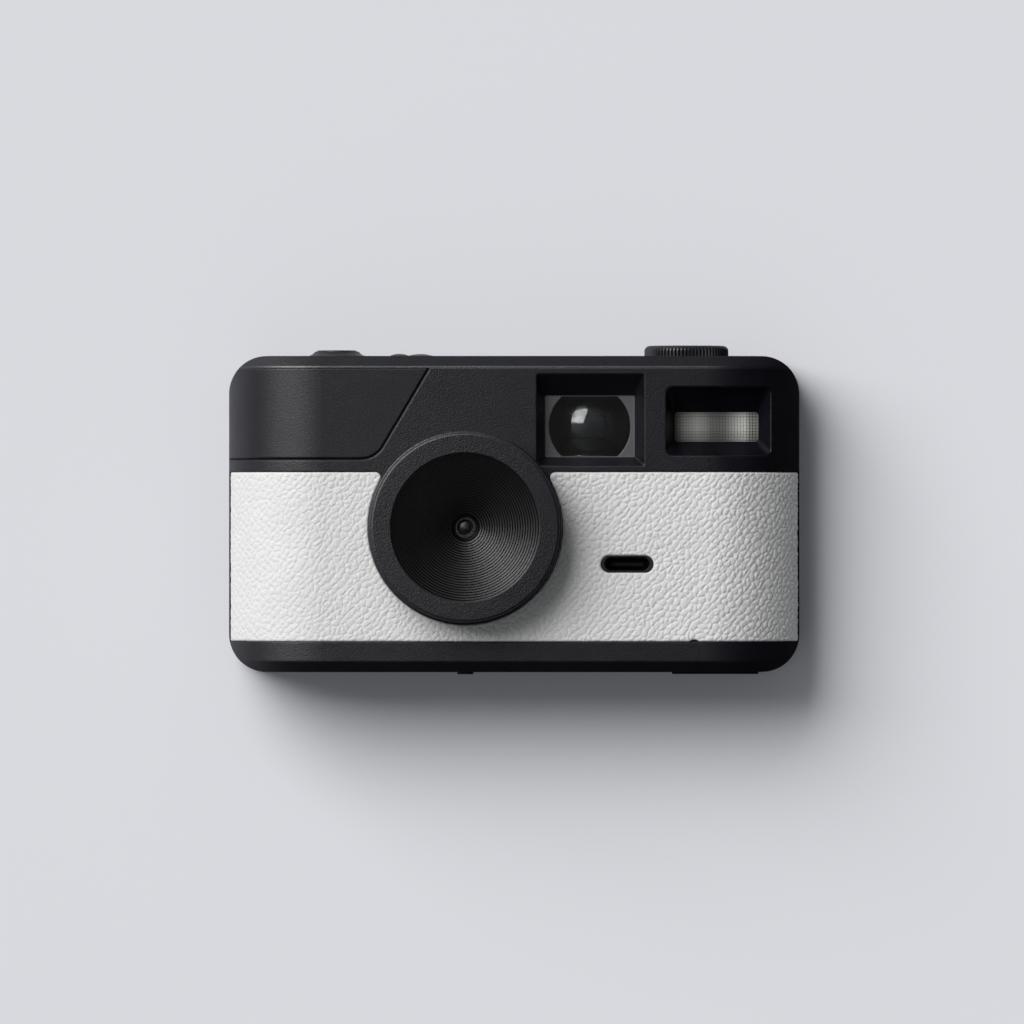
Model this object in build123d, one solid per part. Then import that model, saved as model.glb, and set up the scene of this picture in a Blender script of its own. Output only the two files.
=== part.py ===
from build123d import *
import os
from math import atan2, cos, hypot, pi, radians, sin, sqrt, tan

# A small digital camera without a screen, standing upright on its base.
# Its front faces -Y, +X is to the right as seen from the front, and +Z is up.
# The origin is on the standing plane, under the middle of the whole camera.
# Every length is in millimetres.

# Whole body
body_width = 117.0
body_height = 64.65
body_depth = 26.0
corner_radius = 7.8     # corners of the body seen from the front
wall = 1.8
lid_depth = 5.0         # from the rear face to the parting line
end_run = 19.0          # width of each curved end, seen from the front
end_radius = 20.0
side_radius = 2.2       # small corner between a curved end and a flat side
bevel_height = 2.15     # sloping edge along the top and the base of the front
bevel_depth = 1.8
crease_round = 0.5
rear_round = 2.5
foot_drop = 0.45        # the feet and the card door hold the base this high
lip_depth = 1.5         # tongue of the rear cover inside the front cover
lip_wall = 0.9
lip_gap = 0.1
overrun = 5.0           # how far a cutter runs past what it cuts
fit_gap = 0.05          # clearance of seated pieces
run_gap = 0.15          # clearance of moving pieces

# Layout of the front, from the right side towards the left and from the top down
flash_side = 6.1        # from the right side to the flash recess
flash_width = 21.3
recess_spacing = 4.5    # between the two recesses
finder_width = 22.0
lens_offset = 14.6      # from the viewfinder recess to the lens axis
lens_height_share = 0.4578
ring_radius = 19.75
ring_proud = 9.0

# Places that follow from these
front_y = ring_proud - (body_depth + ring_proud) / 2
rear_y = front_y + body_depth
parting_y = rear_y - lid_depth
base_z = foot_drop
top_z = base_z + body_height
inner_front_y = front_y + wall
inner_rear_y = rear_y - wall
inner_base_z = base_z + wall
inner_top_z = top_z - wall
half_width = body_width / 2
ring_front_y = front_y - ring_proud
flash_right = half_width - flash_side
flash_left = flash_right - flash_width
finder_right = flash_left - recess_spacing
finder_left = finder_right - finder_width
lens_x = finder_left - lens_offset
lens_z = base_z + body_height * lens_height_share


# Shapes that many pieces are made from

def block(x0, x1, y0, y1, z0, z1):
    """A block between two opposite corners."""
    place = Pos((x0 + x1) / 2, (y0 + y1) / 2, (z0 + z1) / 2)
    return place * Box(x1 - x0, y1 - y0, z1 - z0)


def rod_x(radius, x0, x1, y, z):
    """A round rod from left to right."""
    bar = Cylinder(radius, x1 - x0, align=(Align.CENTER, Align.CENTER, Align.MIN))
    return Pos(x0, y, z) * Rot(0, 90, 0) * bar


def rod_y(radius, y0, y1, x, z):
    """A round rod from front to rear."""
    bar = Cylinder(radius, y1 - y0, align=(Align.CENTER, Align.CENTER, Align.MIN))
    return Pos(x, y0, z) * Rot(-90, 0, 0) * bar


def rod_z(radius, z0, z1, x, y):
    """A round rod standing up."""
    return Pos(x, y, z0) * Cylinder(radius, z1 - z0, align=(Align.CENTER, Align.CENTER, Align.MIN))


def turned_y(points, x, z):
    """A piece turned about an axis from front to rear. The points are radius and y."""
    outline = make_face(Polyline(*points, close=True))
    return Pos(x, 0, z) * revolve(outline, Axis.Y)


def turned_z(points, x, y):
    """A piece turned about an upright axis. The points are radius and z."""
    outline = make_face(Polyline(*[(r, 0, z) for r, z in points], close=True))
    return Pos(x, y, 0) * revolve(outline, Axis.Z)


def facing_front(x, y, z):
    """A plane that looks forward, with its own x to the right and its own y up."""
    return Plane(origin=(x, y, z), x_dir=(1, 0, 0), z_dir=(0, -1, 0))


def slab(outline, y0, y1):
    """An outline drawn in x and z, made solid from y0 back to y1."""
    return extrude(facing_front(0, y1, 0) * outline, y1 - y0)


def window(x0, x1, z0, z1, y, radius=0):
    """A flat oblong that looks forward, with plain or rounded corners."""
    width, height = x1 - x0, z1 - z0
    shape = RectangleRounded(width, height, radius) if radius else Rectangle(width, height)
    return facing_front((x0 + x1) / 2, y, (z0 + z1) / 2) * shape


def save(name, *solids):
    """Write one node. A node of identical pieces is a group of separate solids."""
    shape = solids[0] if len(solids) == 1 else Compound(children=list(solids))
    export_step(shape, f"parts/{name}.step")


# Outer form of the body

def plan_face(inset):
    """The body from above: flat front, long curved ends, small corners and flat sides."""
    arc_x = half_width - end_run
    arc_y = front_y + end_radius
    small_x = half_width - side_radius
    small_y = arc_y - sqrt((end_radius - side_radius) ** 2 - (small_x - arc_x) ** 2)
    turn = atan2(small_y - arc_y, small_x - arc_x)
    large, small = end_radius - inset, side_radius - inset
    side_x = half_width - inset
    far_y = rear_y + overrun + body_depth

    def on_large(angle):
        return (arc_x + large * cos(angle), arc_y + large * sin(angle))

    def on_small(angle):
        return (small_x + small * cos(angle), small_y + small * sin(angle))

    right = [
        ThreePointArc(on_large(-pi / 2), on_large((turn - pi / 2) / 2), on_large(turn)),
        ThreePointArc(on_large(turn), on_small(turn / 2), (side_x, small_y)),
        Line((side_x, small_y), (side_x, far_y)),
    ]
    left = [edge.mirror(Plane.YZ) for edge in right]
    front = Line((-arc_x, front_y + inset), (arc_x, front_y + inset))
    return make_face([front, Line((-side_x, far_y), (side_x, far_y))] + right + left)


def side_start_y():
    """Where the flat sides begin, behind the small corners."""
    reach = end_radius - side_radius
    return front_y + end_radius - sqrt(reach ** 2 - (end_run - side_radius) ** 2)


def front_at(x):
    """The y of the front face or of a curved end, at a place across the body."""
    out = max(abs(x) - (half_width - end_run), 0)
    return front_y + end_radius - sqrt(end_radius ** 2 - out ** 2)


def sleeve(inset, y0, y1):
    """The body seen from the front, made solid between two depths."""
    outline = RectangleRounded(body_width - 2 * inset, body_height - 2 * inset,
                               corner_radius - inset)
    return extrude(facing_front(0, y1, base_z + body_height / 2) * outline, y1 - y0)


def crease_heights(inset):
    """Where the sloping edges meet the front face, at the base and at the top."""
    slope = hypot(bevel_depth, bevel_height)
    rise = bevel_height + inset * (slope - bevel_height) / bevel_depth
    return base_z + rise, top_z - rise


def envelope(inset):
    """The whole outer form, moved inward by the inset."""
    low, high = crease_heights(inset)
    face = plan_face(inset)
    reach = bevel_height + overrun
    middle = extrude(Pos(0, 0, low) * face, high - low, dir=(0, 0, 1))
    upper = extrude(Pos(0, 0, high) * face, reach, dir=(0, bevel_depth, bevel_height))
    lower = extrude(Pos(0, 0, low) * face, reach, dir=(0, bevel_depth, -bevel_height))
    tube = sleeve(inset, front_y - overrun, rear_y - inset)
    rear_edges = tube.faces().sort_by(Axis.Y)[-1].edges()
    tube = fillet(rear_edges, rear_round - inset)
    form = (middle + upper + lower) & tube
    if inset:
        return form
    creases = [
        edge for edge in form.edges()
        if edge.center().Y < side_start_y()
        and min(abs(edge.center().Z - low), abs(edge.center().Z - high)) < fit_gap
    ]
    return fillet(creases, crease_round)


outer_form = envelope(0)
inner_form = envelope(wall)


def skin(thickness):
    """An even layer of the front and the curved ends, as far back as the flat sides."""
    ahead = block(-body_width, body_width, ring_front_y, side_start_y(), 0, top_z + overrun)
    return (outer_form & ahead) - envelope(thickness)


# Grip panel and leather, both set into the front cover

panel_thickness = 0.8
panel_drop = 21.05        # from the top of the body to the lower edge
panel_lens_gap = 18.4     # from the lens axis to where the lower and slanting edges would meet
panel_angle = 59.4        # slope of the slanting edge, in degrees
panel_corner_radius = 5.3
groove_chamfer = 0.32
leather_thickness = 0.6
leather_rise = 6.26       # from the base of the body to the lower edge
leather_drop = 23.75      # from the top of the body to the upper edge
leather_margin = 0.3      # bare cover left at each side, seen from the front
leather_gap = 0.08
leather_ring_gap = 0.3
leather_corner_radius = 1.2


def panel_outline(grow):
    """The panel seen from the front, with its lower and slanting edges moved outward."""
    angle = radians(panel_angle)
    low = top_z - panel_drop - grow
    high = crease_heights(0)[1] - crease_round + min(grow, fit_gap)
    start_x = lens_x - panel_lens_gap + grow * tan(angle / 2)
    end_x = start_x + (high - low) / tan(angle)
    far_x = -half_width - overrun
    outline = make_face(Polyline((far_x, low), (start_x, low), (end_x, high), (far_x, high), close=True))
    corner = outline.vertices().sort_by_distance((start_x, low, 0))[0]
    return fillet(corner, panel_corner_radius + grow)


def leather_outline(grow):
    """The leather seen from the front, cut away round the lens ring."""
    side_x = half_width - leather_margin + grow
    low, high = base_z + leather_rise - grow, top_z - leather_drop + grow
    cut_radius = ring_radius + leather_ring_gap - grow
    sheet = make_face(Polyline((-side_x, low), (side_x, low), (side_x, high), (-side_x, high), close=True))
    sheet = sheet - Pos(lens_x, lens_z) * Circle(cut_radius)
    chord = sqrt(cut_radius ** 2 - (high - lens_z) ** 2)
    tips = [
        sheet.vertices().sort_by_distance((lens_x + side * chord, high, 0))[0]
        for side in (-1, 1)
    ]
    return fillet(tips, leather_corner_radius)


def rim_edges(solid, insert):
    """The edges of a solid that follow the lower and slanting outer edges of an insert."""
    under_surface = envelope(panel_thickness / 4)
    middles = [
        edge @ 0.5
        for face in insert.faces() if face.normal_at().Z < -fit_gap and abs(face.normal_at().Y) < fit_gap
        for edge in face.edges() if not under_surface.is_inside(edge @ 0.5)
    ]
    return [
        edge for edge in solid.edges()
        if any((edge @ 0.5 - middle).length < fit_gap for middle in middles)
    ]


def make_grip_panel():
    panel = skin(panel_thickness) & slab(panel_outline(0), ring_front_y, side_start_y())
    return chamfer(rim_edges(panel, panel), groove_chamfer)


def make_leather():
    sheet = skin(leather_thickness) & slab(leather_outline(0), ring_front_y, side_start_y())
    return sheet - usb_oblong(usb_trim_half_width + leather_gap, usb_trim_half_height + leather_gap,
                              front_y - overrun, front_y + overrun)


def cut_pockets(body):
    """Set the panel and the leather into the outer form."""
    behind = side_start_y() + fit_gap
    panel_pocket = skin(panel_thickness) & slab(panel_outline(fit_gap), ring_front_y, behind)
    body = body - panel_pocket
    body = chamfer(rim_edges(body, panel_pocket), groove_chamfer)
    return body - (skin(leather_thickness) & slab(leather_outline(leather_gap), ring_front_y, behind))


# Lens ring, ribbed cone and glass, all turned about the lens axis

ring_edge_round = 0.4
ring_step_side = 0.55     # from the outer edge to the sloping step
ring_step_width = 0.35
ring_step_depth = 0.1
ring_rim = 4.45           # width of the whole rim, from the outer edge to the cone
ring_lip = 1.0            # thickness of the ring in front of the cone
ring_flange = 2.35        # width of the rim that seats on the cover
spigot_wall = 0.9         # the spigot of the ring passes through the cover
spigot_length = 3.2
cone_ridge_radius = 2.75  # the ridges end here
cone_ridge_count = 24
cone_ridge_slope = 0.79   # depth gained for each millimetre of radius
cone_ridge_crest = 0.16
cone_throat_radius = 2.3
cone_throat_depth = 0.7
cone_wall = 1.3
cone_rim_length = 1.6
retainer_bore = 1.35
retainer_length = 0.6
front_lens_edge = 0.7
front_lens_rim = 0.95
front_lens_bulge = 0.35
barrel_radius = 6.0
barrel_length = 7.4
barrel_lip = 0.6
barrel_bore = 4.0
stop_thickness = 0.3
stop_hole = 0.9
inner_lens_rim = 0.6
middle_lens_edge = 1.0
middle_lens_bulge = 0.6
lens_spacer_wall = 0.5
lens_spacer_length = 2.0
rear_lens_edge = 1.4
rear_lens_bulge = 0.5
holder_half = 8.5
holder_wall = 1.2
filter_half_width = 5.2
filter_half_height = 4.4
filter_thickness = 0.5
filter_gap = 0.7
sensor_half_width = 4.6
sensor_half_height = 3.8
sensor_thickness = 1.1
board_thickness = 1.2

ring_step_radius = ring_radius - ring_step_side
ring_face_radius = ring_step_radius - ring_step_width
cone_mouth_radius = ring_radius - ring_rim
spigot_radius = ring_radius - ring_flange
spigot_bore = spigot_radius - spigot_wall
cone_front_y = ring_front_y + ring_lip
throat_start_y = cone_front_y + (cone_mouth_radius - cone_throat_radius) * cone_ridge_slope
throat_end_y = throat_start_y + cone_throat_depth + retainer_length + front_lens_edge
retainer_y = throat_end_y - front_lens_edge - retainer_length
barrel_end_y = throat_end_y + barrel_length
stop_y = throat_end_y + barrel_lip
middle_lens_y = stop_y + stop_thickness
spacer_y = middle_lens_y + middle_lens_edge
rear_lens_y = spacer_y + lens_spacer_length
sensor_board_y = barrel_end_y + filter_gap + filter_thickness + filter_gap + sensor_thickness


def lens_disc(radius, flat_y, rim_y, rim_width, bulge):
    """A round lens with one flat side, a flat rim and a dome that bulges past the rim."""
    side = 1 if rim_y > flat_y else -1
    dome_radius = radius - rim_width
    curve = (dome_radius ** 2 + bulge ** 2) / (2 * bulge)
    half_rise = bulge - (curve - sqrt(curve ** 2 - dome_radius ** 2 / 4))
    dome = ThreePointArc((0, rim_y + side * bulge), (dome_radius / 2, rim_y + side * half_rise),
                         (dome_radius, rim_y))
    rest = Polyline((dome_radius, rim_y), (radius, rim_y), (radius, flat_y), (0, flat_y),
                    (0, rim_y + side * bulge))
    return Pos(lens_x, 0, lens_z) * revolve(make_face([dome, rest]), Axis.Y)


def make_lens_ring():
    shoulder_y = ring_front_y + ring_step_depth
    ring = turned_y([
        (cone_mouth_radius, ring_front_y), (ring_face_radius, ring_front_y),
        (ring_step_radius, shoulder_y), (ring_radius, shoulder_y), (ring_radius, front_y),
        (spigot_radius, front_y), (spigot_radius, front_y + spigot_length),
        (spigot_bore, front_y + spigot_length), (spigot_bore, cone_front_y),
        (cone_mouth_radius, cone_front_y),
    ], lens_x, lens_z)
    edge = ring.edges().filter_by(GeomType.CIRCLE).filter_by(
        lambda e: abs(e.radius - ring_radius) < fit_gap).sort_by(Axis.Y)[0]
    return fillet(edge, ring_edge_round)


def make_baffle_cone():
    """A thin cone whose inside is cut in fine steps that stop stray light."""
    rim_radius = spigot_bore - fit_gap
    pitch = (cone_mouth_radius - cone_ridge_radius) / cone_ridge_count
    points = [(rim_radius, cone_front_y)]
    for ridge in range(cone_ridge_count):
        radius = cone_mouth_radius - ridge * pitch
        y = cone_front_y + (cone_mouth_radius - radius) * cone_ridge_slope
        points += [(radius, y), (radius - pitch / 2, y + pitch / 2 * cone_ridge_slope - cone_ridge_crest)]
    ridge_end_y = cone_front_y + (cone_mouth_radius - cone_ridge_radius) * cone_ridge_slope
    wall_run = cone_wall + cone_rim_length
    rim_end_y = cone_front_y + wall_run
    back_radius = barrel_radius - fit_gap
    points += [
        (cone_ridge_radius, ridge_end_y), (cone_throat_radius, throat_start_y),
        (cone_throat_radius, throat_end_y), (back_radius, throat_end_y),
        (back_radius + cone_wall, throat_end_y - cone_wall), (rim_radius, rim_end_y),
    ]
    return turned_y(points, lens_x, lens_z)


def make_retainer():
    outer = cone_throat_radius - fit_gap
    chamfer_end = retainer_y + retainer_length / 2
    return turned_y([
        (outer, retainer_y), (outer, retainer_y + retainer_length),
        (retainer_bore, retainer_y + retainer_length), (retainer_bore, chamfer_end),
        (retainer_bore + retainer_length / 2, retainer_y),
    ], lens_x, lens_z)


def make_lens_barrel():
    return turned_y([
        (cone_throat_radius, throat_end_y), (barrel_radius, throat_end_y),
        (barrel_radius, barrel_end_y), (barrel_bore, barrel_end_y),
        (barrel_bore, stop_y), (cone_throat_radius, stop_y),
    ], lens_x, lens_z)


def make_lens_spacer():
    outer = barrel_bore - fit_gap
    return turned_y([
        (outer, spacer_y), (outer, rear_lens_y),
        (outer - lens_spacer_wall, rear_lens_y), (outer - lens_spacer_wall, spacer_y),
    ], lens_x, lens_z)


def make_lens_holder():
    """A square housing that grips the barrel and closes over the sensor."""
    start_y = barrel_end_y - holder_half / 2
    holder = block(lens_x - holder_half, lens_x + holder_half, start_y, sensor_board_y,
                   lens_z - holder_half, lens_z + holder_half)
    inner = holder_half - holder_wall
    cavity_y = barrel_end_y + filter_gap + filter_thickness
    holder -= block(lens_x - inner, lens_x + inner, cavity_y, sensor_board_y + overrun,
                    lens_z - inner, lens_z + inner)
    holder -= block(lens_x - filter_half_width - fit_gap, lens_x + filter_half_width + fit_gap,
                    cavity_y - filter_thickness - fit_gap, cavity_y + fit_gap,
                    lens_z - filter_half_height - fit_gap, lens_z + filter_half_height + fit_gap)
    holder -= rod_y(barrel_radius, start_y - overrun, barrel_end_y, lens_x, lens_z)
    return holder - rod_y(barrel_bore, start_y, cavity_y, lens_x, lens_z)


def around_lens(half_w, half_h, y0, y1):
    """A plate centred on the lens axis."""
    return block(lens_x - half_w, lens_x + half_w, y0, y1, lens_z - half_h, lens_z + half_h)


def make_sensor_flex():
    """A ribbon from the foot of the sensor board round to the main board."""
    start_y, end_y = sensor_board_y + board_thickness, main_board_y
    middle_y, bend = (start_y + end_y) / 2, (end_y - start_y) / 2
    foot_z = lens_z - sensor_board_half_height
    x0, x1 = lens_x - flex_width / 2, lens_x + flex_width / 2
    turn = rod_x(bend, x0, x1, middle_y, foot_z) - rod_x(bend - flex_thickness, x0, x1, middle_y, foot_z)
    turn -= block(x0, x1, start_y, end_y, foot_z, foot_z + bend)
    near = block(x0, x1, start_y, start_y + flex_thickness, foot_z, foot_z + flex_tab)
    far = block(x0, x1, end_y - flex_thickness, end_y, foot_z, foot_z + flex_tab)
    return turn + near + far


# Viewfinder: a recess in the front, a lens, a tunnel, and an eyepiece in the rear

finder_drop = 3.65        # from the top of the body to the mouth of the recess
finder_height = 18.8
finder_left_slope = 1.7   # how far each wall leans in, from the mouth to the floor
finder_right_slope = 2.0
finder_top_slope = 4.5
finder_base_slope = 1.8
finder_depth = 4.6
recess_wall = 1.0
mouth_round = 0.25        # the edge of each recess
finder_floor = 1.0
finder_corner = 0.35
finder_lens_radius = 8.35
finder_lens_hollow = 14.0  # radius of the hollow rear face
finder_lens_middle = 1.25  # thickness in the middle
finder_lens_back = 0.35    # flat face behind the floor of the recess
finder_lens_proud_z = 6.1
finder_flange = 0.75
finder_flange_thickness = 3.4
tunnel_wall = 0.9
tunnel_end_half_width = 6.4
tunnel_end_half_height = 4.7
eyepiece_half_width = 7.4
eyepiece_half_height = 5.6
eyepiece_frame_wall = 2.0
eyepiece_frame_depth = 1.0
eyepiece_corner = 1.6

finder_high_z = top_z - finder_drop
finder_low_z = finder_high_z - finder_height
finder_floor_left = finder_left + finder_left_slope
finder_floor_right = finder_right - finder_right_slope
finder_floor_low_z = finder_low_z + finder_base_slope
finder_floor_high_z = finder_high_z - finder_top_slope
finder_x = (finder_floor_left + finder_floor_right) / 2
finder_z = (finder_floor_low_z + finder_floor_high_z) / 2
finder_floor_y = front_y + finder_depth
finder_flange_y = finder_floor_y + finder_floor
tunnel_start_y = finder_flange_y + finder_flange_thickness
eyepiece_frame_y = rear_y - eyepiece_frame_depth


def finder_funnel():
    """The hollow of the recess, narrowing from its mouth to its floor."""
    mouth = window(finder_left, finder_right, finder_low_z, finder_high_z, front_y, finder_corner)
    floor = window(finder_floor_left, finder_floor_right, finder_floor_low_z, finder_floor_high_z,
                   finder_floor_y, finder_corner)
    return loft([mouth, floor]) + extrude(mouth, overrun)


def finder_housing():
    """The walls and floor of the recess, before it is hollowed."""
    return block(finder_left - recess_wall, finder_right + recess_wall, front_y, finder_flange_y,
                 finder_low_z - recess_wall, finder_high_z + recess_wall)


def finder_opening(gap, y0, y1):
    """The round opening in the floor, cut off flat above and below."""
    height = finder_lens_proud_z + gap
    slice_ = block(finder_x - body_width, finder_x + body_width, y0, y1,
                   finder_z - height, finder_z + height)
    return rod_y(finder_lens_radius + gap, y0, y1, finder_x, finder_z) & slice_


def make_finder_front_lens():
    """A lens that is flat in front and hollow behind, with a square flange."""
    radius, height = finder_lens_radius - fit_gap, finder_lens_proud_z - fit_gap
    face_y = finder_floor_y + finder_lens_back
    x0, x1, z0, z1 = finder_x - radius, finder_x + radius, finder_z - height, finder_z + height
    body = rod_y(radius, face_y, finder_flange_y, finder_x, finder_z)
    body &= block(x0, x1, face_y, finder_flange_y, z0, z1)
    body += block(x0 - finder_flange, x1 + finder_flange, finder_flange_y, tunnel_start_y,
                  z0 - finder_flange, z1 + finder_flange)
    ball_y = face_y + finder_lens_middle + finder_lens_hollow
    ball = Pos(finder_x, ball_y, finder_z) * Sphere(finder_lens_hollow)
    return body - (ball & block(x0, x1, face_y, tunnel_start_y + overrun, z0, z1))


def make_finder_tunnel():
    half_width_ = finder_lens_radius + finder_flange
    half_height_ = finder_lens_proud_z + finder_flange
    shells = []
    for inset in (0, tunnel_wall):
        start = window(finder_x - half_width_ + inset, finder_x + half_width_ - inset,
                       finder_z - half_height_ + inset, finder_z + half_height_ - inset, tunnel_start_y)
        end = window(finder_x - tunnel_end_half_width + inset, finder_x + tunnel_end_half_width - inset,
                     finder_z - tunnel_end_half_height + inset,
                     finder_z + tunnel_end_half_height - inset, inner_rear_y)
        shells.append(loft([start, end]))
    return shells[0] - shells[1]


def eyepiece_block(inset, y0, y1, radius):
    outline = window(finder_x - eyepiece_half_width + inset, finder_x + eyepiece_half_width - inset,
                     finder_z - eyepiece_half_height + inset, finder_z + eyepiece_half_height - inset,
                     y1, radius)
    return extrude(outline, y1 - y0)


def make_eyepiece_frame():
    frame = eyepiece_block(fit_gap, eyepiece_frame_y, rear_y, eyepiece_corner)
    frame -= eyepiece_block(eyepiece_frame_wall, eyepiece_frame_y - overrun, rear_y + overrun,
                            eyepiece_corner / 2)
    inner = frame.faces().sort_by(Axis.Y)[-1].inner_wires()[0].edges()
    return chamfer(inner, eyepiece_frame_depth / 2)


# Flash: a recess that runs onto the curved end, a ribbed window, and its lamp and store behind

flash_drop = 6.35         # from the top of the body to the mouth of the recess
flash_height = 14.0
flash_depth = 7.8         # from the front face to the window
flash_lip = 0.35          # straight part of the walls behind the mouth
flash_corner = 1.4
flash_window_left_gap = 1.8
flash_window_width = 17.2
flash_window_rise = 2.8   # from the lower edge of the mouth to the window
flash_window_height = 6.1
flash_window_corner = 0.8
flash_floor = 1.4
flash_rib_pitch = 0.62
flash_rib_depth = 0.12
reflector_depth = 5.0
reflector_trough = 2.75
flash_tube_radius = 1.15
flash_tube_overhang = 1.2
flash_board_thickness = 1.0
flash_board_rise = 17.0     # from the base of the body to the foot of the board
flash_board_drop = 10.65    # from the top of the body to the top of the board
flash_board_leg = 12.0
capacitor_radius = 3.9
capacitor_rise = 3.2        # above the foot of the board
capacitor_side = 12.5       # from the right side of the body to the axis
capacitor_gap = 0.3
capacitor_end_round = 0.5

flash_high_z = top_z - flash_drop
flash_low_z = flash_high_z - flash_height
flash_window_left = flash_left + flash_window_left_gap
flash_window_right = flash_window_left + flash_window_width
flash_window_low_z = flash_low_z + flash_window_rise
flash_window_high_z = flash_window_low_z + flash_window_height
flash_floor_y = front_y + flash_depth
flash_back_y = flash_floor_y + flash_floor
reflector_end_y = flash_back_y + reflector_depth
flash_middle_z = (flash_window_low_z + flash_window_high_z) / 2
flash_tube_y = flash_back_y + reflector_depth / 2


def flash_funnel(grow=0):
    """The hollow of the flash recess, which narrows from its mouth to the window.

    The mouth is turned, so that its left side lies just behind the front face and its right side
    just behind the curved end.
    """
    fall = front_at(flash_right) - front_y
    middle = Vector((flash_left + flash_right) / 2, front_y + flash_lip + fall / 2,
                    (flash_low_z + flash_high_z) / 2)
    across = Vector(flash_width, fall, 0)
    turned = Plane(origin=middle, x_dir=across, z_dir=across.cross(Vector(0, 0, 1)))
    mouth = turned * RectangleRounded(across.length + 2 * grow, flash_height + 2 * grow,
                                      flash_corner + grow)
    return (loft([mouth, flash_window_outline(-grow, flash_floor_y)])
            + extrude(mouth, flash_lip + fall + overrun, dir=(0, -1, 0)))


def flash_housing():
    """The walls of the recess and the seat of the window, before they are hollowed."""
    seat = extrude(flash_window_outline(-recess_wall, flash_back_y), flash_floor)
    return flash_funnel(recess_wall) + seat


def flash_window_outline(gap, y):
    return window(flash_window_left + gap, flash_window_right - gap, flash_window_low_z + gap,
                  flash_window_high_z - gap, y, flash_window_corner)


def make_flash_window():
    plate = extrude(flash_window_outline(fit_gap, flash_back_y), flash_floor)
    width = flash_window_width - 2 * flash_window_corner
    count = int(width / flash_rib_pitch)
    start = (flash_window_left + flash_window_right - count * flash_rib_pitch) / 2
    grooves = [
        block(start + (rib + 1 / 4) * flash_rib_pitch, start + (rib + 3 / 4) * flash_rib_pitch,
              flash_floor_y - overrun, flash_floor_y + flash_rib_depth,
              flash_window_low_z + flash_window_corner, flash_window_high_z - flash_window_corner)
        for rib in range(count)
    ]
    return plate - grooves


def make_flash_reflector():
    x0, x1 = flash_window_left, flash_window_right
    outer = block(x0, x1, flash_back_y, reflector_end_y, flash_middle_z - reflector_trough - fit_gap * 6,
                  flash_middle_z + reflector_trough + fit_gap * 6)
    trough_wall = tunnel_wall
    outer -= rod_x(reflector_trough, x0 + trough_wall, x1 - trough_wall, flash_tube_y, flash_middle_z)
    outer -= block(x0 + trough_wall, x1 - trough_wall, flash_back_y - overrun, flash_tube_y,
                   flash_middle_z - reflector_trough, flash_middle_z + reflector_trough)
    return outer - rod_x(flash_tube_radius + fit_gap, x0 - overrun, x1 + overrun,
                         flash_tube_y, flash_middle_z)


def make_flash_board():
    y0, y1 = reflector_end_y, reflector_end_y + flash_board_thickness
    upper = block(flash_window_left, flash_right - recess_wall, y0, y1,
                  flash_low_z + recess_wall, top_z - flash_board_drop)
    right = flash_right - recess_wall
    leg = block(right - flash_board_leg, right, y0, y1,
                base_z + flash_board_rise, flash_low_z + recess_wall)
    return upper + leg


def make_flash_capacitor():
    can = rod_z(capacitor_radius, base_z + flash_board_rise + capacitor_rise,
                flash_low_z - recess_wall - capacitor_gap,
                half_width - capacitor_side, reflector_end_y - capacitor_radius)
    return fillet(can.edges().filter_by(GeomType.CIRCLE), capacitor_end_round)


# Shutter button, the two small buttons, and the board under them

shutter_side = 22.2         # from the left side of the body to each button
shutter_depth = 10.0        # behind the front face
collar_radius = 6.4
collar_height = 0.95
collar_flare = 1.9
collar_plug_radius = 5.6
shutter_radius = 4.1
shutter_height = 1.2
shutter_body = 2.3
shutter_dish = 0.25
shutter_edge_round = 0.3
shutter_flange = 0.5
shutter_flange_thickness = 0.5
shutter_travel = 0.8
shutter_stem_radius = 1.4
spring_wire_radius = 0.22
spring_radius = 2.9
spring_turns = 5
power_side = 35.0
power_depth = 7.5
power_radius = 1.9
flash_button_side = 39.3
flash_button_depth = 12.5
flash_button_radius = 2.6
small_height = 0.5
small_travel = 0.4
small_flange = 0.55
small_flange_thickness = 0.6
small_stem_radius = 0.8
button_board_drop = 7.0     # top of the board below the top of the body
button_board_side = 14.0    # from the left side of the body
button_board_length = 29.9
button_board_front = 5.0    # behind the front face
button_board_depth = 14.0
button_board_thickness = 1.0
switch_half = 1.6
switch_height = 1.0
switch_gap = 0.08

shutter_x = -half_width + shutter_side
power_x = -half_width + power_side
flash_button_x = -half_width + flash_button_side
button_board_left = -half_width + button_board_side
button_board_right = button_board_left + button_board_length
shutter_y = front_y + shutter_depth
power_y = front_y + power_depth
flash_button_y = front_y + flash_button_depth
button_board_z = top_z - button_board_drop
switch_top_z = button_board_z + switch_height
collar_lip_z = top_z - shutter_body


def make_shutter_collar():
    """A flared ring on top of the body, with a plug that holds the button from below."""
    bore = shutter_radius + run_gap
    low_bore = bore + shutter_flange
    plug_end_z = collar_lip_z - shutter_flange_thickness - shutter_travel - run_gap
    outline = make_face([
        Polyline((collar_radius - collar_flare, 0, top_z + collar_height),
                 (bore, 0, top_z + collar_height), (bore, 0, collar_lip_z),
                 (low_bore, 0, collar_lip_z), (low_bore, 0, plug_end_z),
                 (collar_plug_radius, 0, plug_end_z), (collar_plug_radius, 0, top_z),
                 (collar_radius, 0, top_z)),
        ThreePointArc((collar_radius, 0, top_z),
                      (collar_radius - collar_flare * 0.62, 0, top_z + collar_height * 0.32),
                      (collar_radius - collar_flare, 0, top_z + collar_height)),
    ])
    return Pos(shutter_x, shutter_y, 0) * revolve(outline, Axis.Z)


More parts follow.
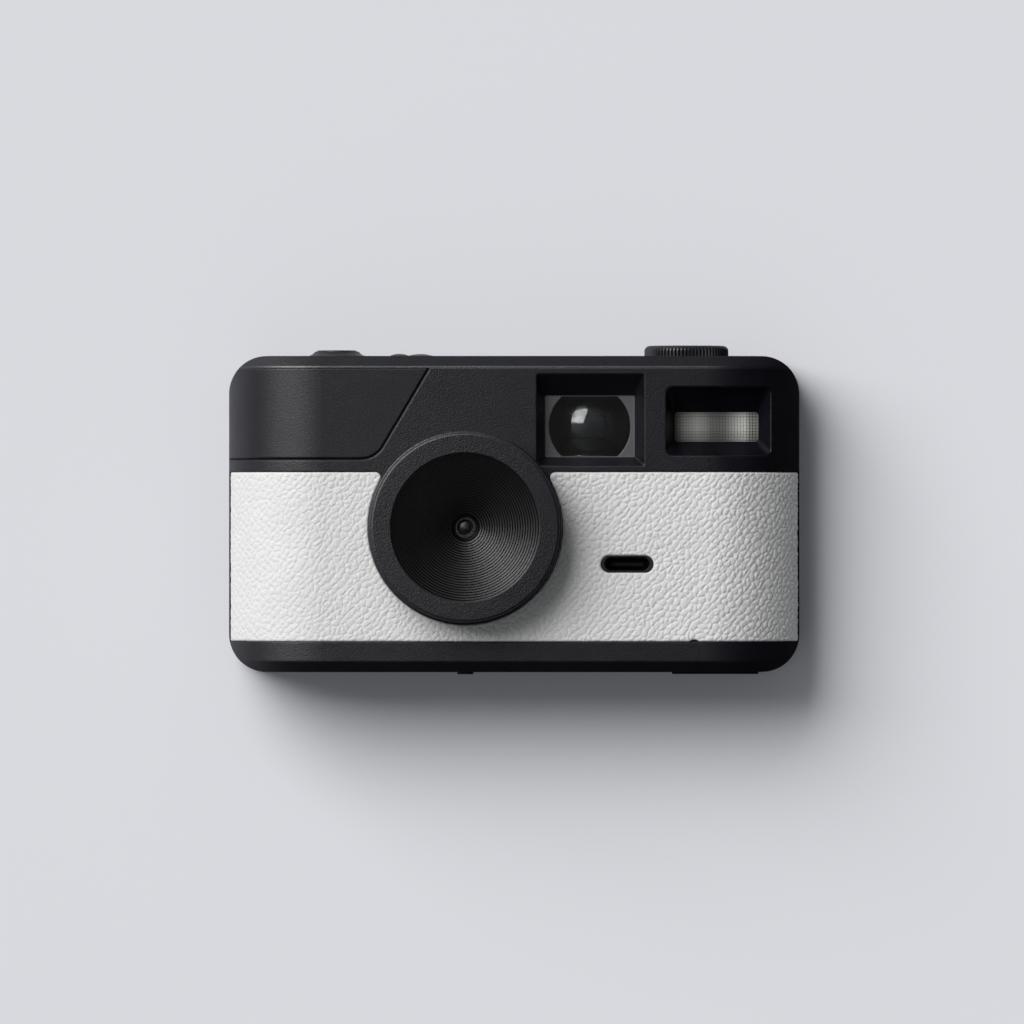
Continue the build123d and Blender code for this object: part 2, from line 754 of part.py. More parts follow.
def make_shutter_button():
    under_z = collar_lip_z - fit_gap
    flange_radius = shutter_radius + shutter_flange
    cap = rod_z(shutter_radius, under_z - shutter_flange_thickness, top_z + shutter_height,
                shutter_x, shutter_y)
    cap = fillet(cap.edges().sort_by(Axis.Z)[-1], shutter_edge_round)
    dish_reach = shutter_radius - shutter_edge_round - shutter_dish
    sphere_radius = (dish_reach ** 2 + shutter_dish ** 2) / (2 * shutter_dish)
    dish_z = top_z + shutter_height - shutter_dish + sphere_radius
    cap -= Pos(shutter_x, shutter_y, dish_z) * Sphere(sphere_radius)
    cap += rod_z(flange_radius, under_z - shutter_flange_thickness, under_z, shutter_x, shutter_y)
    stem_z = switch_top_z + shutter_travel + switch_gap
    return cap + rod_z(shutter_stem_radius, stem_z, under_z, shutter_x, shutter_y)


def make_shutter_spring():
    """A coil between the board and the underside of the button."""
    low = button_board_z + spring_wire_radius
    high = collar_lip_z - fit_gap - shutter_flange_thickness - spring_wire_radius - fit_gap
    coil = Helix((high - low) / spring_turns, high - low, spring_radius)
    ring = Plane(origin=coil @ 0, z_dir=coil % 0) * Circle(spring_wire_radius)
    return Pos(shutter_x, shutter_y, low) * sweep(ring, path=coil)


def make_small_button(x, y, radius):
    """A low domed button held from below by its flange."""
    flange_top = inner_top_z - fit_gap
    flange_low = flange_top - small_flange_thickness
    rim_z = top_z + small_height / 5
    apex_z = top_z + small_height
    bulge = apex_z - rim_z
    curve = (radius ** 2 + bulge ** 2) / (2 * bulge)
    half_z = apex_z - (curve - sqrt(curve ** 2 - radius ** 2 / 4))
    outline = make_face([
        ThreePointArc((0, 0, apex_z), (radius / 2, 0, half_z), (radius, 0, rim_z)),
        Polyline((radius, 0, rim_z), (radius, 0, flange_top), (radius + small_flange, 0, flange_top),
                 (radius + small_flange, 0, flange_low), (small_stem_radius, 0, flange_low),
                 (small_stem_radius, 0, switch_top_z + small_travel + switch_gap),
                 (0, 0, switch_top_z + small_travel + switch_gap), (0, 0, apex_z)),
    ])
    return Pos(x, y, 0) * revolve(outline, Axis.Z)


def make_switch(x, y):
    """A small square push switch with a round plunger."""
    body_top = switch_top_z - switch_height / 4
    body = block(x - switch_half, x + switch_half, y - switch_half, y + switch_half,
                 button_board_z, body_top)
    return body + rod_z(switch_half / 2, body_top, switch_top_z, x, y)


def make_button_board():
    board = block(button_board_left, button_board_right, button_board_y, button_board_y + button_board_depth,
                  button_board_z - button_board_thickness, button_board_z)
    for x, y in button_post_places:
        board -= rod_z(screw_radius + fit_gap, button_board_z - overrun, button_board_z + overrun, x, y)
    return board


# Dial on its shaft

dial_side = 23.2            # from the right side of the body
dial_depth = 11.0
dial_radius = 8.6
dial_height = 2.15
dial_sink = 0.8             # depth of the round pocket under the dial
dial_pocket_gap = 0.3
dial_tooth_count = 70
dial_tooth_depth = 0.28
dial_edge_round = 1.15
dial_bottom_chamfer = 0.4
dial_dish_radius = 6.3
dial_dish_depth = 0.25
dial_mark_count = 8
dial_mark_length = 1.4
dial_mark_width = 0.35
dial_mark_depth = 0.2
shaft_radius = 2.0
shaft_in_dial = 1.5
bush_wall = 2.2
bush_length = 2.0
encoder_half = 5.0
encoder_thickness = 1.5
clip_radius = 3.4
clip_thickness = 0.6
clip_groove = 0.4
shaft_tail = 0.4

dial_x = half_width - dial_side
dial_y = front_y + dial_depth
dial_low_z = top_z - dial_sink + run_gap
dial_top_z = top_z + dial_height
bush_end_z = inner_top_z - bush_length
encoder_end_z = bush_end_z - encoder_thickness
clip_top_z = encoder_end_z - run_gap
shaft_end_z = clip_top_z - clip_thickness - shaft_tail


def make_mode_dial():
    rounded = dial_radius - dial_edge_round
    middle = dial_edge_round * cos(pi / 4)
    outline = make_face([
        Polyline((0, 0, dial_top_z), (0, 0, dial_low_z), (dial_radius - dial_bottom_chamfer, 0, dial_low_z),
                 (dial_radius, 0, dial_low_z + dial_bottom_chamfer),
                 (dial_radius, 0, dial_top_z - dial_edge_round)),
        ThreePointArc((dial_radius, 0, dial_top_z - dial_edge_round),
                      (rounded + middle, 0, dial_top_z - dial_edge_round + middle), (rounded, 0, dial_top_z)),
        Line((rounded, 0, dial_top_z), (0, 0, dial_top_z)),
    ])
    cap = revolve(outline, Axis.Z)
    points = []
    for tooth in range(dial_tooth_count):
        for share, reach in ((0, dial_radius + dial_tooth_depth / 2),
                             (1 / 2, dial_radius - dial_tooth_depth)):
            angle = 2 * pi * (tooth + share) / dial_tooth_count
            points.append((reach * cos(angle), reach * sin(angle)))
    star = make_face(Polyline(*points, close=True))
    cap &= Pos(0, 0, dial_low_z) * extrude(star, dial_top_z - dial_low_z)
    cap -= rod_z(dial_dish_radius, dial_top_z - dial_dish_depth, dial_top_z + overrun, 0, 0)
    mark_end = dial_dish_radius - dial_mark_length / 2
    mark = block(mark_end - dial_mark_length, mark_end, -dial_mark_width / 2, dial_mark_width / 2,
                 dial_top_z - dial_dish_depth - dial_mark_depth, dial_top_z + overrun)
    cap -= [Rot(0, 0, 360 * place / dial_mark_count) * mark for place in range(dial_mark_count)]
    cap -= rod_z(shaft_radius + fit_gap / 2, dial_low_z - overrun, dial_low_z + shaft_in_dial, 0, 0)
    return Pos(dial_x, dial_y, 0) * cap


def make_dial_shaft():
    groove_top, groove_low = clip_top_z, clip_top_z - clip_thickness
    return turned_z([
        (0, shaft_end_z), (shaft_radius, shaft_end_z), (shaft_radius, groove_low),
        (shaft_radius - clip_groove, groove_low), (shaft_radius - clip_groove, groove_top),
        (shaft_radius, groove_top), (shaft_radius, dial_low_z + shaft_in_dial),
        (0, dial_low_z + shaft_in_dial),
    ], dial_x, dial_y)


def make_dial_clip():
    inner = shaft_radius - clip_groove
    ring = rod_z(clip_radius, clip_top_z - clip_thickness, clip_top_z, dial_x, dial_y)
    ring -= rod_z(inner, clip_top_z - overrun, clip_top_z + overrun, dial_x, dial_y)
    return ring - block(dial_x, dial_x + clip_radius, dial_y - inner / 2, dial_y + inner / 2,
                        clip_top_z - overrun, clip_top_z + overrun)


def make_dial_encoder():
    body = block(dial_x - encoder_half, dial_x + encoder_half, dial_y - encoder_half, dial_y + encoder_half,
                 encoder_end_z, bush_end_z)
    return body - rod_z(shaft_radius + fit_gap, encoder_end_z - overrun, bush_end_z + overrun,
                        dial_x, dial_y)


# Charging socket in the leather

usb_side = 35.43            # from the right side of the body
usb_height_share = 0.3418
usb_trim_half_width = 5.32
usb_trim_half_height = 1.67
usb_opening_half_width = 4.5
usb_opening_half_height = 1.28
usb_flange = 0.6
usb_flange_thickness = 0.5
usb_lead_in = 0.2
usb_shell_wall = 0.3
usb_length = 7.3
usb_tongue_half_width = 3.3
usb_tongue_half_height = 0.35
usb_tongue_recess = 1.1
usb_back_wall = 0.8
usb_board_half_width = 8.0

usb_x = half_width - usb_side
usb_z = base_z + body_height * usb_height_share
usb_flange_y = inner_front_y
usb_socket_y = usb_flange_y + usb_flange_thickness
usb_board_z = usb_z - usb_opening_half_height - usb_shell_wall


def usb_oblong(half_w, half_h, y0, y1):
    return extrude(facing_front(usb_x, y1, usb_z) * SlotOverall(2 * half_w, 2 * half_h), y1 - y0)


def make_usb_trim():
    trim = usb_oblong(usb_trim_half_width - fit_gap, usb_trim_half_height - fit_gap, front_y, usb_flange_y)
    trim += usb_oblong(usb_trim_half_width + usb_flange, usb_trim_half_height + usb_flange,
                       usb_flange_y, usb_socket_y)
    trim -= usb_oblong(usb_opening_half_width, usb_opening_half_height, front_y - overrun,
                       usb_socket_y + overrun)
    inner = trim.faces().sort_by(Axis.Y)[0].inner_wires()[0].edges()
    return chamfer(inner, usb_lead_in)


def make_usb_socket():
    end_y = usb_socket_y + usb_length
    shell = usb_oblong(usb_opening_half_width + usb_shell_wall, usb_opening_half_height + usb_shell_wall,
                       usb_socket_y, end_y)
    shell -= usb_oblong(usb_opening_half_width, usb_opening_half_height,
                        usb_socket_y - overrun, end_y - usb_back_wall)
    tongue = block(usb_x - usb_tongue_half_width, usb_x + usb_tongue_half_width,
                   usb_socket_y + usb_tongue_recess, end_y - usb_back_wall / 2,
                   usb_z - usb_tongue_half_height, usb_z + usb_tongue_half_height)
    return shell + tongue


# Boards, battery and memory card

sensor_board_half_width = 17.5
sensor_board_half_height = 14.0
sensor_post_x = 15.5
sensor_post_z = 12.0
flex_width = 8.0
flex_thickness = 0.2
flex_tab = 4.0
main_board_gap = 5.0        # from the main board to the inside of the rear cover
main_board_lens_gap = 18.0  # from the lens axis to the left edge
main_board_side = 9.5       # from the right side of the body
main_board_rise = 4.2
main_board_drop = 23.65
processor_offset = 8.0      # from the lens axis
processor_height = 16.0
processor_half = 7.0
processor_thickness = 1.4
battery_side = 3.5          # from the left side of the body
battery_lens_gap = 21.0     # from the lens axis to the right edge
battery_rise = 11.0
battery_drop = 23.65
battery_thickness = 6.0
battery_front_gap = 11.2    # behind the front face
battery_round = 1.0
battery_rib_inset = 5.0
battery_rib_width = 1.0
card_socket_half_width = 6.6
card_socket_low = 3.0
card_socket_height = 14.5
card_socket_thickness = 1.7
card_half_width = 5.5
card_low = 2.75
card_length = 13.8
card_thickness = 0.7
card_board_gap = 0.7

main_board_left = lens_x - main_board_lens_gap
main_board_right = half_width - main_board_side
main_board_high_z = top_z - main_board_drop
battery_left = -half_width + battery_side
battery_right = lens_x - battery_lens_gap
battery_low_z = base_z + battery_rise
battery_high_z = top_z - battery_drop
main_board_y = inner_rear_y - main_board_gap - board_thickness
battery_y = front_y + battery_front_gap
battery_end_y = battery_y + battery_thickness


def make_main_board():
    board = block(main_board_left, main_board_right, main_board_y, main_board_y + board_thickness,
                  base_z + main_board_rise, main_board_high_z)
    for x, z in main_post_places:
        board -= rod_y(screw_radius + fit_gap, main_board_y - overrun, main_board_y + overrun, x, z)
    return board


def make_sensor_board():
    board = around_lens(sensor_board_half_width, sensor_board_half_height, sensor_board_y,
                        sensor_board_y + board_thickness)
    for x, z in sensor_post_places:
        board -= rod_y(screw_radius + fit_gap, sensor_board_y - overrun, sensor_board_y + overrun, x, z)
    return board


def make_battery():
    cell = block(battery_left, battery_right, battery_y, battery_end_y, battery_low_z, battery_high_z)
    return fillet(cell.edges().filter_by(Axis.Z), battery_round)


def make_card_socket():
    x0, x1 = card_x - card_socket_half_width, card_x + card_socket_half_width
    low = base_z + card_socket_low
    socket = block(x0, x1, main_board_y - card_socket_thickness, main_board_y,
                   low, low + card_socket_height)
    y1 = main_board_y - card_board_gap
    return socket - block(card_x - card_half_width - fit_gap, card_x + card_half_width + fit_gap,
                          y1 - card_thickness - fit_gap, y1 + fit_gap, low - overrun,
                          base_z + card_low + card_length)


def make_memory_card():
    y1 = main_board_y - card_board_gap
    low = base_z + card_low
    card = block(card_x - card_half_width, card_x + card_half_width, y1 - card_thickness, y1,
                 low, low + card_length)
    corner = card.edges().filter_by(Axis.Y).sort_by(Axis.Z)[-1]
    return chamfer(corner, card_thickness * 2)


# Card door in the base, hinged at its rear edge

door_side = 8.45            # from the right side of the body
door_width = 17.65
door_front = 9.6            # behind the front face
door_depth = 10.6
door_thickness = 1.5
door_corner = 0.8
door_ledge = 1.2
hinge_radius = 1.35
pin_radius = 0.5
pin_overhang = 1.2
latch_half_width = 2.5
latch_setback = 1.6
latch_thickness = 0.8
latch_height = 1.6
latch_foot = 2.4
latch_foot_thickness = 0.4

door_right = half_width - door_side
door_left = door_right - door_width
card_x = (door_left + door_right) / 2
door_y = front_y + door_front
door_end_y = door_y + door_depth
pin_y = door_end_y - hinge_radius
pin_z = hinge_radius


def make_card_door():
    plate = block(door_left, door_right, door_y, pin_y, 0, door_thickness)
    front_corners = plate.edges().filter_by(Axis.Z).sort_by(Axis.Y)[:2]
    plate = fillet(front_corners, door_corner)
    knuckle = rod_x(hinge_radius, door_left, door_right, pin_y, pin_z)
    return plate + knuckle - rod_x(pin_radius + fit_gap, door_left - overrun, door_right + overrun,
                                   pin_y, pin_z)


def make_door_latch():
    """A bent clip on the inside of the door."""
    x0, x1 = card_x - latch_half_width, card_x + latch_half_width
    y0 = door_y + latch_setback
    foot = block(x0, x1, y0, y0 + latch_foot, door_thickness, door_thickness + latch_foot_thickness)
    return foot + block(x0, x1, y0, y0 + latch_thickness, door_thickness, door_thickness + latch_height)


def make_door_pin():
    return rod_x(pin_radius, door_left - pin_overhang, door_right + pin_overhang, pin_y, pin_z)


def door_cutter():
    """Everything that the door needs removed from the base of the cover."""
    x0, x1 = door_left - run_gap, door_right + run_gap
    recess = block(x0, x1, door_y - run_gap, door_end_y + run_gap, -overrun, door_thickness + run_gap)
    recess += block(x0 + door_ledge, x1 - door_ledge, door_y + door_ledge, pin_y, 0, inner_base_z + overrun)
    recess += block(x0, x1, pin_y - hinge_radius - run_gap, door_end_y + run_gap, 0, inner_base_z + overrun)
    return recess + rod_x(pin_radius + fit_gap, door_left - pin_overhang - fit_gap,
                          door_right + pin_overhang + fit_gap, pin_y, pin_z)


# Tripod bush and feet, under the lens axis

bush_radius = 4.5
bush_bore = 2.6             # inside of a quarter inch thread
bush_depth = 6.0
bush_flange = 1.0
bush_flange_thickness = 1.2
bush_boss_wall = 1.2
tripod_depth = 11.5         # behind the front face
foot_radius = 1.65
foot_stem_radius = 1.0
foot_stem = 1.2
foot_round = 0.15
front_foot_depth = 4.0
rear_foot_depth = 19.0

tripod_y = front_y + tripod_depth
boss_end_z = base_z + bush_depth - bush_flange_thickness


def make_tripod_bush():
    return turned_z([
        (bush_bore, base_z), (bush_radius, base_z), (bush_radius, boss_end_z),
        (bush_radius + bush_flange, boss_end_z), (bush_radius + bush_flange, base_z + bush_depth),
        (bush_bore, base_z + bush_depth),
    ], lens_x, tripod_y)


def make_foot(y):
    pad = rod_z(foot_radius, 0, base_z, lens_x, y)
    pad = fillet(pad.edges().sort_by(Axis.Z)[0], foot_round)
    return pad + rod_z(foot_stem_radius, base_z, base_z + foot_stem, lens_x, y)


# Screws and the posts that they go into

screw_radius = 0.75
screw_head_radius = 1.5
screw_head_height = 0.9
screw_length = 4.5
screw_slot_width = 0.5
screw_slot_depth = 0.4
post_radius = 2.0
case_screw_radius = 0.9
case_head_radius = 1.8
case_head_height = 1.0
case_head_sink = 1.15
case_screw_length = 9.0
case_post_radius = 2.4
case_post_inset = 6.5       # from the sides of the body
case_post_rise = 7.0
case_post_drop = 7.25
main_post_inset = 3.5       # from the edges of the main board
main_post_spacing = 16.0
main_post_lift = 17.8
button_post_inset = 2.0
button_post_near = 2.0

case_post_places = [
    (side * (half_width - case_post_inset), z)
    for side in (-1, 1) for z in (base_z + case_post_rise, top_z - case_post_drop)
]
sensor_post_places = [
    (lens_x + side * sensor_post_x, lens_z + level * sensor_post_z) for side in (-1, 1) for level in (-1, 1)
]
main_post_low_z = base_z + main_board_rise + main_post_inset
main_post_right = main_board_right - main_post_inset
main_post_places = [
    (main_board_left + main_post_inset, main_post_low_z),
    (main_board_left + main_post_inset, main_board_high_z - main_post_inset),
    (main_post_right - main_post_spacing, main_board_high_z - main_post_inset),
    (main_post_right, base_z + main_board_rise + main_post_lift),
]
button_board_y = front_y + button_board_front
button_post_places = [
    (button_board_left + button_post_inset, button_board_y + button_board_depth - button_post_inset),
    (button_board_right - button_post_inset, button_board_y + button_post_near),
]


def make_screw(radius, head_radius, head_height, length):
    """A slotted screw along +Z, with the underside of its head at zero."""
    screw = Pos(0, 0, -length / 2) * Cylinder(radius, length)
    screw += Pos(0, 0, head_height / 2) * Cylinder(head_radius, head_height)
    slot = Pos(0, 0, head_height) * Box(2 * head_radius, screw_slot_width, 2 * screw_slot_depth)
    return screw - slot


def small_screw():
    return make_screw(screw_radius, screw_head_radius, screw_head_height, screw_length)


def make_case_screws():
    screw = make_screw(case_screw_radius, case_head_radius, case_head_height, case_screw_length)
    head_y = rear_y - case_head_sink
    return [Pos(x, head_y, z) * Rot(-90, 0, 0) * screw for x, z in case_post_places]


def make_board_screws():
    screws = [Pos(x, sensor_board_y + board_thickness, z) * Rot(-90, 0, 0) * small_screw()
              for x, z in sensor_post_places]
    screws += [Pos(x, main_board_y, z) * Rot(90, 0, 0) * small_screw() for x, z in main_post_places]
    screws += [Pos(x, y, button_board_z - button_board_thickness) * Rot(180, 0, 0) * small_screw()
               for x, y in button_post_places]
    return screws


# Covers

light_offset = 10.7         # from the axis of the viewfinder
light_radius = 0.9
light_flange = 0.5
light_x = finder_x + light_offset


def mouth_edges(body):
    """The edges of both recesses that lie on the outside of the front."""
    found = []
    for edge in body.edges():
        points = (edge @ 0, edge @ (1 / 2), edge @ 1)
        outside = all(abs(point.Y - front_at(point.X)) < fit_gap for point in points)
        inside_x = all(finder_left - fit_gap < point.X < flash_right + fit_gap for point in points)
        inside_z = all(finder_low_z - fit_gap < point.Z < finder_high_z + fit_gap for point in points)
        if outside and inside_x and inside_z:
            found.append(edge)
    return found


def make_front_cover():
    body = cut_pockets(outer_form)
    far = body_width
    front_half = block(-far, far, ring_front_y, parting_y, -overrun, top_z + overrun)
    body = (body & front_half) - inner_form
    posts = [rod_y(case_post_radius, front_y, parting_y, x, z) for x, z in case_post_places]
    posts += [rod_y(post_radius, front_y, sensor_board_y, x, z) for x, z in sensor_post_places]
    posts += [rod_z(post_radius, button_board_z, top_z - bevel_height / 2, x, y)
              for x, y in button_post_places]
    posts += [
        block(x - battery_rib_width / 2, x + battery_rib_width / 2, front_y, battery_y,
              battery_low_z, battery_high_z)
        for x in battery_rib_places
    ]
    posts.append(block(flash_right - recess_wall - post_radius, flash_right - recess_wall, front_y,
                       reflector_end_y, base_z + flash_board_rise, base_z + flash_board_rise + post_radius))
    posts.append(rod_z(shaft_radius + bush_wall, bush_end_z, top_z - bevel_height / 2, dial_x, dial_y))
    posts.append(rod_z(bush_radius + bush_boss_wall, base_z + bevel_height / 2, boss_end_z,
                       lens_x, tripod_y))
    keep = envelope(wall / 2)
    body = body + [post & keep for post in posts]
    body = body + [housing & keep for housing in (finder_housing(), flash_housing())]
    body -= [finder_funnel(), flash_funnel()]
    body = fillet(mouth_edges(body), mouth_round)
    body -= finder_opening(0, finder_floor_y - overrun, finder_floor_y + overrun)
    body -= extrude(flash_window_outline(0, flash_back_y + overrun), 2 * overrun)
    body -= rod_y(spigot_radius + fit_gap, front_y - overrun, inner_front_y + overrun, lens_x, lens_z)
    body -= usb_oblong(usb_trim_half_width, usb_trim_half_height, front_y - overrun,
                       inner_front_y + overrun)
    body -= rod_z(collar_plug_radius + fit_gap, inner_top_z - overrun, top_z + overrun,
                  shutter_x, shutter_y)
    for x, y, radius in ((power_x, power_y, power_radius),
                         (flash_button_x, flash_button_y, flash_button_radius)):
        body -= rod_z(radius + run_gap, inner_top_z - overrun, top_z + overrun, x, y)
    body -= rod_z(dial_radius + dial_pocket_gap, top_z - dial_sink, top_z + overrun, dial_x, dial_y)
    body -= rod_z(shaft_radius + fit_gap, bush_end_z - overrun, top_z + overrun, dial_x, dial_y)
    body -= door_cutter()
    body -= rod_z(bush_radius + fit_gap, -overrun, boss_end_z + overrun, lens_x, tripod_y)
    for depth in (front_foot_depth, rear_foot_depth):
        body -= rod_z(foot_stem_radius + fit_gap, -overrun, base_z + foot_stem + fit_gap,
                      lens_x, front_y + depth)
    body -= [rod_y(case_screw_radius + fit_gap, rear_y - case_head_sink - case_screw_length - fit_gap,
                   rear_y, x, z) for x, z in case_post_places]
    body -= [rod_y(screw_radius + fit_gap, sensor_board_y + board_thickness - screw_length - fit_gap,
                   sensor_board_y + overrun, x, z) for x, z in sensor_post_places]
    body -= [rod_z(screw_radius + fit_gap, button_board_z - overrun,
                   button_board_z - button_board_thickness + screw_length + fit_gap, x, y)
             for x, y in button_post_places]
    return body


def make_rear_cover():
    far = body_width
    rear_half = block(-far, far, parting_y, rear_y, -overrun, top_z + overrun)
    body = (outer_form & rear_half) - inner_form
    lip = sleeve(wall + lip_gap, parting_y - lip_depth, parting_y)
    lip += sleeve(wall / 2, parting_y, parting_y + lip_depth)
    lip -= sleeve(wall + lip_gap + lip_wall, parting_y - lip_depth - overrun,
                  parting_y + lip_depth + overrun)
    posts = [rod_y(case_post_radius, parting_y, rear_y - wall / 2, x, z) for x, z in case_post_places]
    front_posts = [rod_y(case_post_radius + lip_gap, parting_y - lip_depth - overrun, parting_y, x, z)
                   for x, z in case_post_places]
    clear = [
        block(door_left - 2 * pin_overhang, door_right + 2 * pin_overhang, parting_y - lip_depth - overrun,
              parting_y, 0, inner_base_z + overrun),
    ]
    body = body + (lip - front_posts - clear)
    posts += [rod_y(post_radius, main_board_y + board_thickness, rear_y - wall / 2, x, z)
              for x, z in main_post_places]
    posts += [
        block(x - battery_rib_width / 2, x + battery_rib_width / 2, battery_end_y, rear_y - wall / 2,
              battery_low_z, battery_high_z)
        for x in battery_rib_places
    ]
    body = body + posts
    body -= [rod_y(case_screw_radius + fit_gap, parting_y - overrun, rear_y + overrun, x, z)
             for x, z in case_post_places]
    body -= [rod_y(case_head_radius + fit_gap, rear_y - case_head_sink, rear_y + overrun, x, z)
             for x, z in case_post_places]
    body -= [rod_y(screw_radius + fit_gap, main_board_y - overrun,
                   main_board_y + screw_length + fit_gap, x, z) for x, z in main_post_places]
    body -= eyepiece_block(0, eyepiece_frame_y, rear_y + overrun, eyepiece_corner)
    body -= eyepiece_block(finder_flange, inner_rear_y - overrun, eyepiece_frame_y + overrun,
                           eyepiece_corner / 2)
    body -= rod_y(light_radius + fit_gap, inner_rear_y - overrun, rear_y + overrun, light_x, finder_z)
    return body


def make_status_light():
    lamp = rod_y(light_radius, inner_rear_y, rear_y, light_x, finder_z)
    return lamp + rod_y(light_radius + light_flange, inner_rear_y - light_flange, inner_rear_y,
                        light_x, finder_z)


battery_rib_places = (battery_left + battery_rib_inset, battery_right - battery_rib_inset)

os.makedirs("parts", exist_ok=True)

save("front_cover", make_front_cover())
save("rear_cover", make_rear_cover())
save("grip_panel", make_grip_panel())
save("leather_wrap", make_leather())
save("lens_ring", make_lens_ring())
save("baffle_cone", make_baffle_cone())
save("lens_retainer", make_retainer())
save("front_lens", lens_disc(cone_throat_radius - fit_gap, throat_end_y, throat_end_y - front_lens_edge,
                             front_lens_rim, front_lens_bulge))
save("aperture_stop", rod_y(barrel_bore - fit_gap, stop_y, middle_lens_y, lens_x, lens_z)
     - rod_y(stop_hole, stop_y - overrun, middle_lens_y + overrun, lens_x, lens_z))
save("middle_lens", lens_disc(barrel_bore - fit_gap, middle_lens_y, middle_lens_y + middle_lens_edge,
                              inner_lens_rim, middle_lens_bulge))
save("lens_spacer", make_lens_spacer())
save("rear_lens", lens_disc(barrel_bore - fit_gap, rear_lens_y + rear_lens_edge, rear_lens_y,
                            inner_lens_rim, rear_lens_bulge))
save("lens_barrel", make_lens_barrel())
save("lens_holder", make_lens_holder())
filter_end_y = barrel_end_y + filter_gap + filter_thickness
save("infrared_filter", around_lens(filter_half_width, filter_half_height,
                                    filter_end_y - filter_thickness, filter_end_y))
save("image_sensor", around_lens(sensor_half_width, sensor_half_height,
                                 sensor_board_y - sensor_thickness, sensor_board_y))
save("sensor_board", make_sensor_board())
save("sensor_flex", make_sensor_flex())
save("shutter_collar", make_shutter_collar())
save("shutter_button", make_shutter_button())
save("shutter_spring", make_shutter_spring())
save("shutter_switch", make_switch(shutter_x, shutter_y))
save("power_button", make_small_button(power_x, power_y, power_radius))
save("power_switch", make_switch(power_x, power_y))
save("flash_button", make_small_button(flash_button_x, flash_button_y, flash_button_radius))
save("flash_switch", make_switch(flash_button_x, flash_button_y))
save("button_board", make_button_board())
save("mode_dial", make_mode_dial())
save("dial_shaft", make_dial_shaft())
save("dial_clip", make_dial_clip())
save("dial_encoder", make_dial_encoder())
save("viewfinder_front_lens", make_finder_front_lens())
save("viewfinder_tunnel", make_finder_tunnel())
save("viewfinder_rear_lens", eyepiece_block(finder_flange + fit_gap, inner_rear_y, eyepiece_frame_y,
                                            eyepiece_corner / 2))
save("eyepiece_frame", make_eyepiece_frame())
save("flash_window", make_flash_window())
save("flash_reflector", make_flash_reflector())
save("flash_tube", rod_x(flash_tube_radius, flash_window_left - flash_tube_overhang,
                         flash_window_right + flash_tube_overhang, flash_tube_y, flash_middle_z))
save("flash_board", make_flash_board())
save("flash_capacitor", make_flash_capacitor())
save("usb_trim", make_usb_trim())
save("usb_socket", make_usb_socket())
save("usb_board", block(usb_x - usb_board_half_width, usb_x + usb_board_half_width, usb_socket_y,
                        main_board_y, usb_board_z - board_thickness, usb_board_z))
save("main_board", make_main_board())
processor_x = lens_x + processor_offset
processor_y = main_board_y + board_thickness
processor_z = base_z + processor_height
save("image_processor", block(processor_x - processor_half, processor_x + processor_half, processor_y,
                              processor_y + processor_thickness, processor_z - processor_half,
                              processor_z + processor_half))
save("battery", make_battery())
save("card_socket", make_card_socket())
save("memory_card", make_memory_card())
save("card_door", make_card_door())
save("door_latch", make_door_latch())
save("door_pin", make_door_pin())
save("tripod_bush", make_tripod_bush())
save("base_feet", make_foot(front_y + front_foot_depth), make_foot(front_y + rear_foot_depth))
save("case_screws", *make_case_screws())
save("board_screws", *make_board_screws())
save("status_light", make_status_light())
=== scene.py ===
from math import asin, cos, pi, radians, sin

import bpy
import numpy as np
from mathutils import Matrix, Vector


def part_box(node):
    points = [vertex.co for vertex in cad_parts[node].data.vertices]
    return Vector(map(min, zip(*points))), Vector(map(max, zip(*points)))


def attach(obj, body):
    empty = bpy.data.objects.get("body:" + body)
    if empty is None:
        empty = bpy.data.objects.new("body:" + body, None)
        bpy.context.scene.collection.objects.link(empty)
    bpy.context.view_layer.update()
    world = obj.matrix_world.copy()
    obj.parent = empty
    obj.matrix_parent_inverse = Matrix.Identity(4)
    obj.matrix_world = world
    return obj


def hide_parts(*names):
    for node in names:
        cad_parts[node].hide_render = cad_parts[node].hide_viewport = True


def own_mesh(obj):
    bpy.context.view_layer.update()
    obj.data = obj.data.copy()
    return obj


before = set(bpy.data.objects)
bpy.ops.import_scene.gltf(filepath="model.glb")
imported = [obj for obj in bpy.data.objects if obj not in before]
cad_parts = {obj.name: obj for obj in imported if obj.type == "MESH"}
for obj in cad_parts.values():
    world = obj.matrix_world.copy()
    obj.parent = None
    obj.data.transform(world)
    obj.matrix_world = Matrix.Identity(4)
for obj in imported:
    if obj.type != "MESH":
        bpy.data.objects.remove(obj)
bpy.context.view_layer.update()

# Everything is in metres, except the leather's own sizes. The camera stands upright and its front faces -Y.
MM = 0.001

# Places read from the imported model
front_low, front_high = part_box("front_cover")
_, rear_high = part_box("rear_cover")
ring_low, ring_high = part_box("lens_ring")
leather_low, leather_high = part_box("leather_wrap")
flash_low, flash_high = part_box("flash_window")
finder_low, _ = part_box("viewfinder_front_lens")
usb_low, usb_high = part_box("usb_trim")
front_y = front_low[1]
rear_y = rear_high[1]
base_z = front_low[2]
lens_x = (ring_low[0] + ring_high[0]) / 2
lens_z = (ring_low[2] + ring_high[2]) / 2


# Node materials

MIX_SOCKETS = {"RGBA": (6, 7, 2), "FLOAT": (2, 3, 0)}   # the two inputs and the result of a Mix node
DISPLAY_TOP = 255
DISPLAY_GAMMA = 2.2
BEVEL_SAMPLES = 6


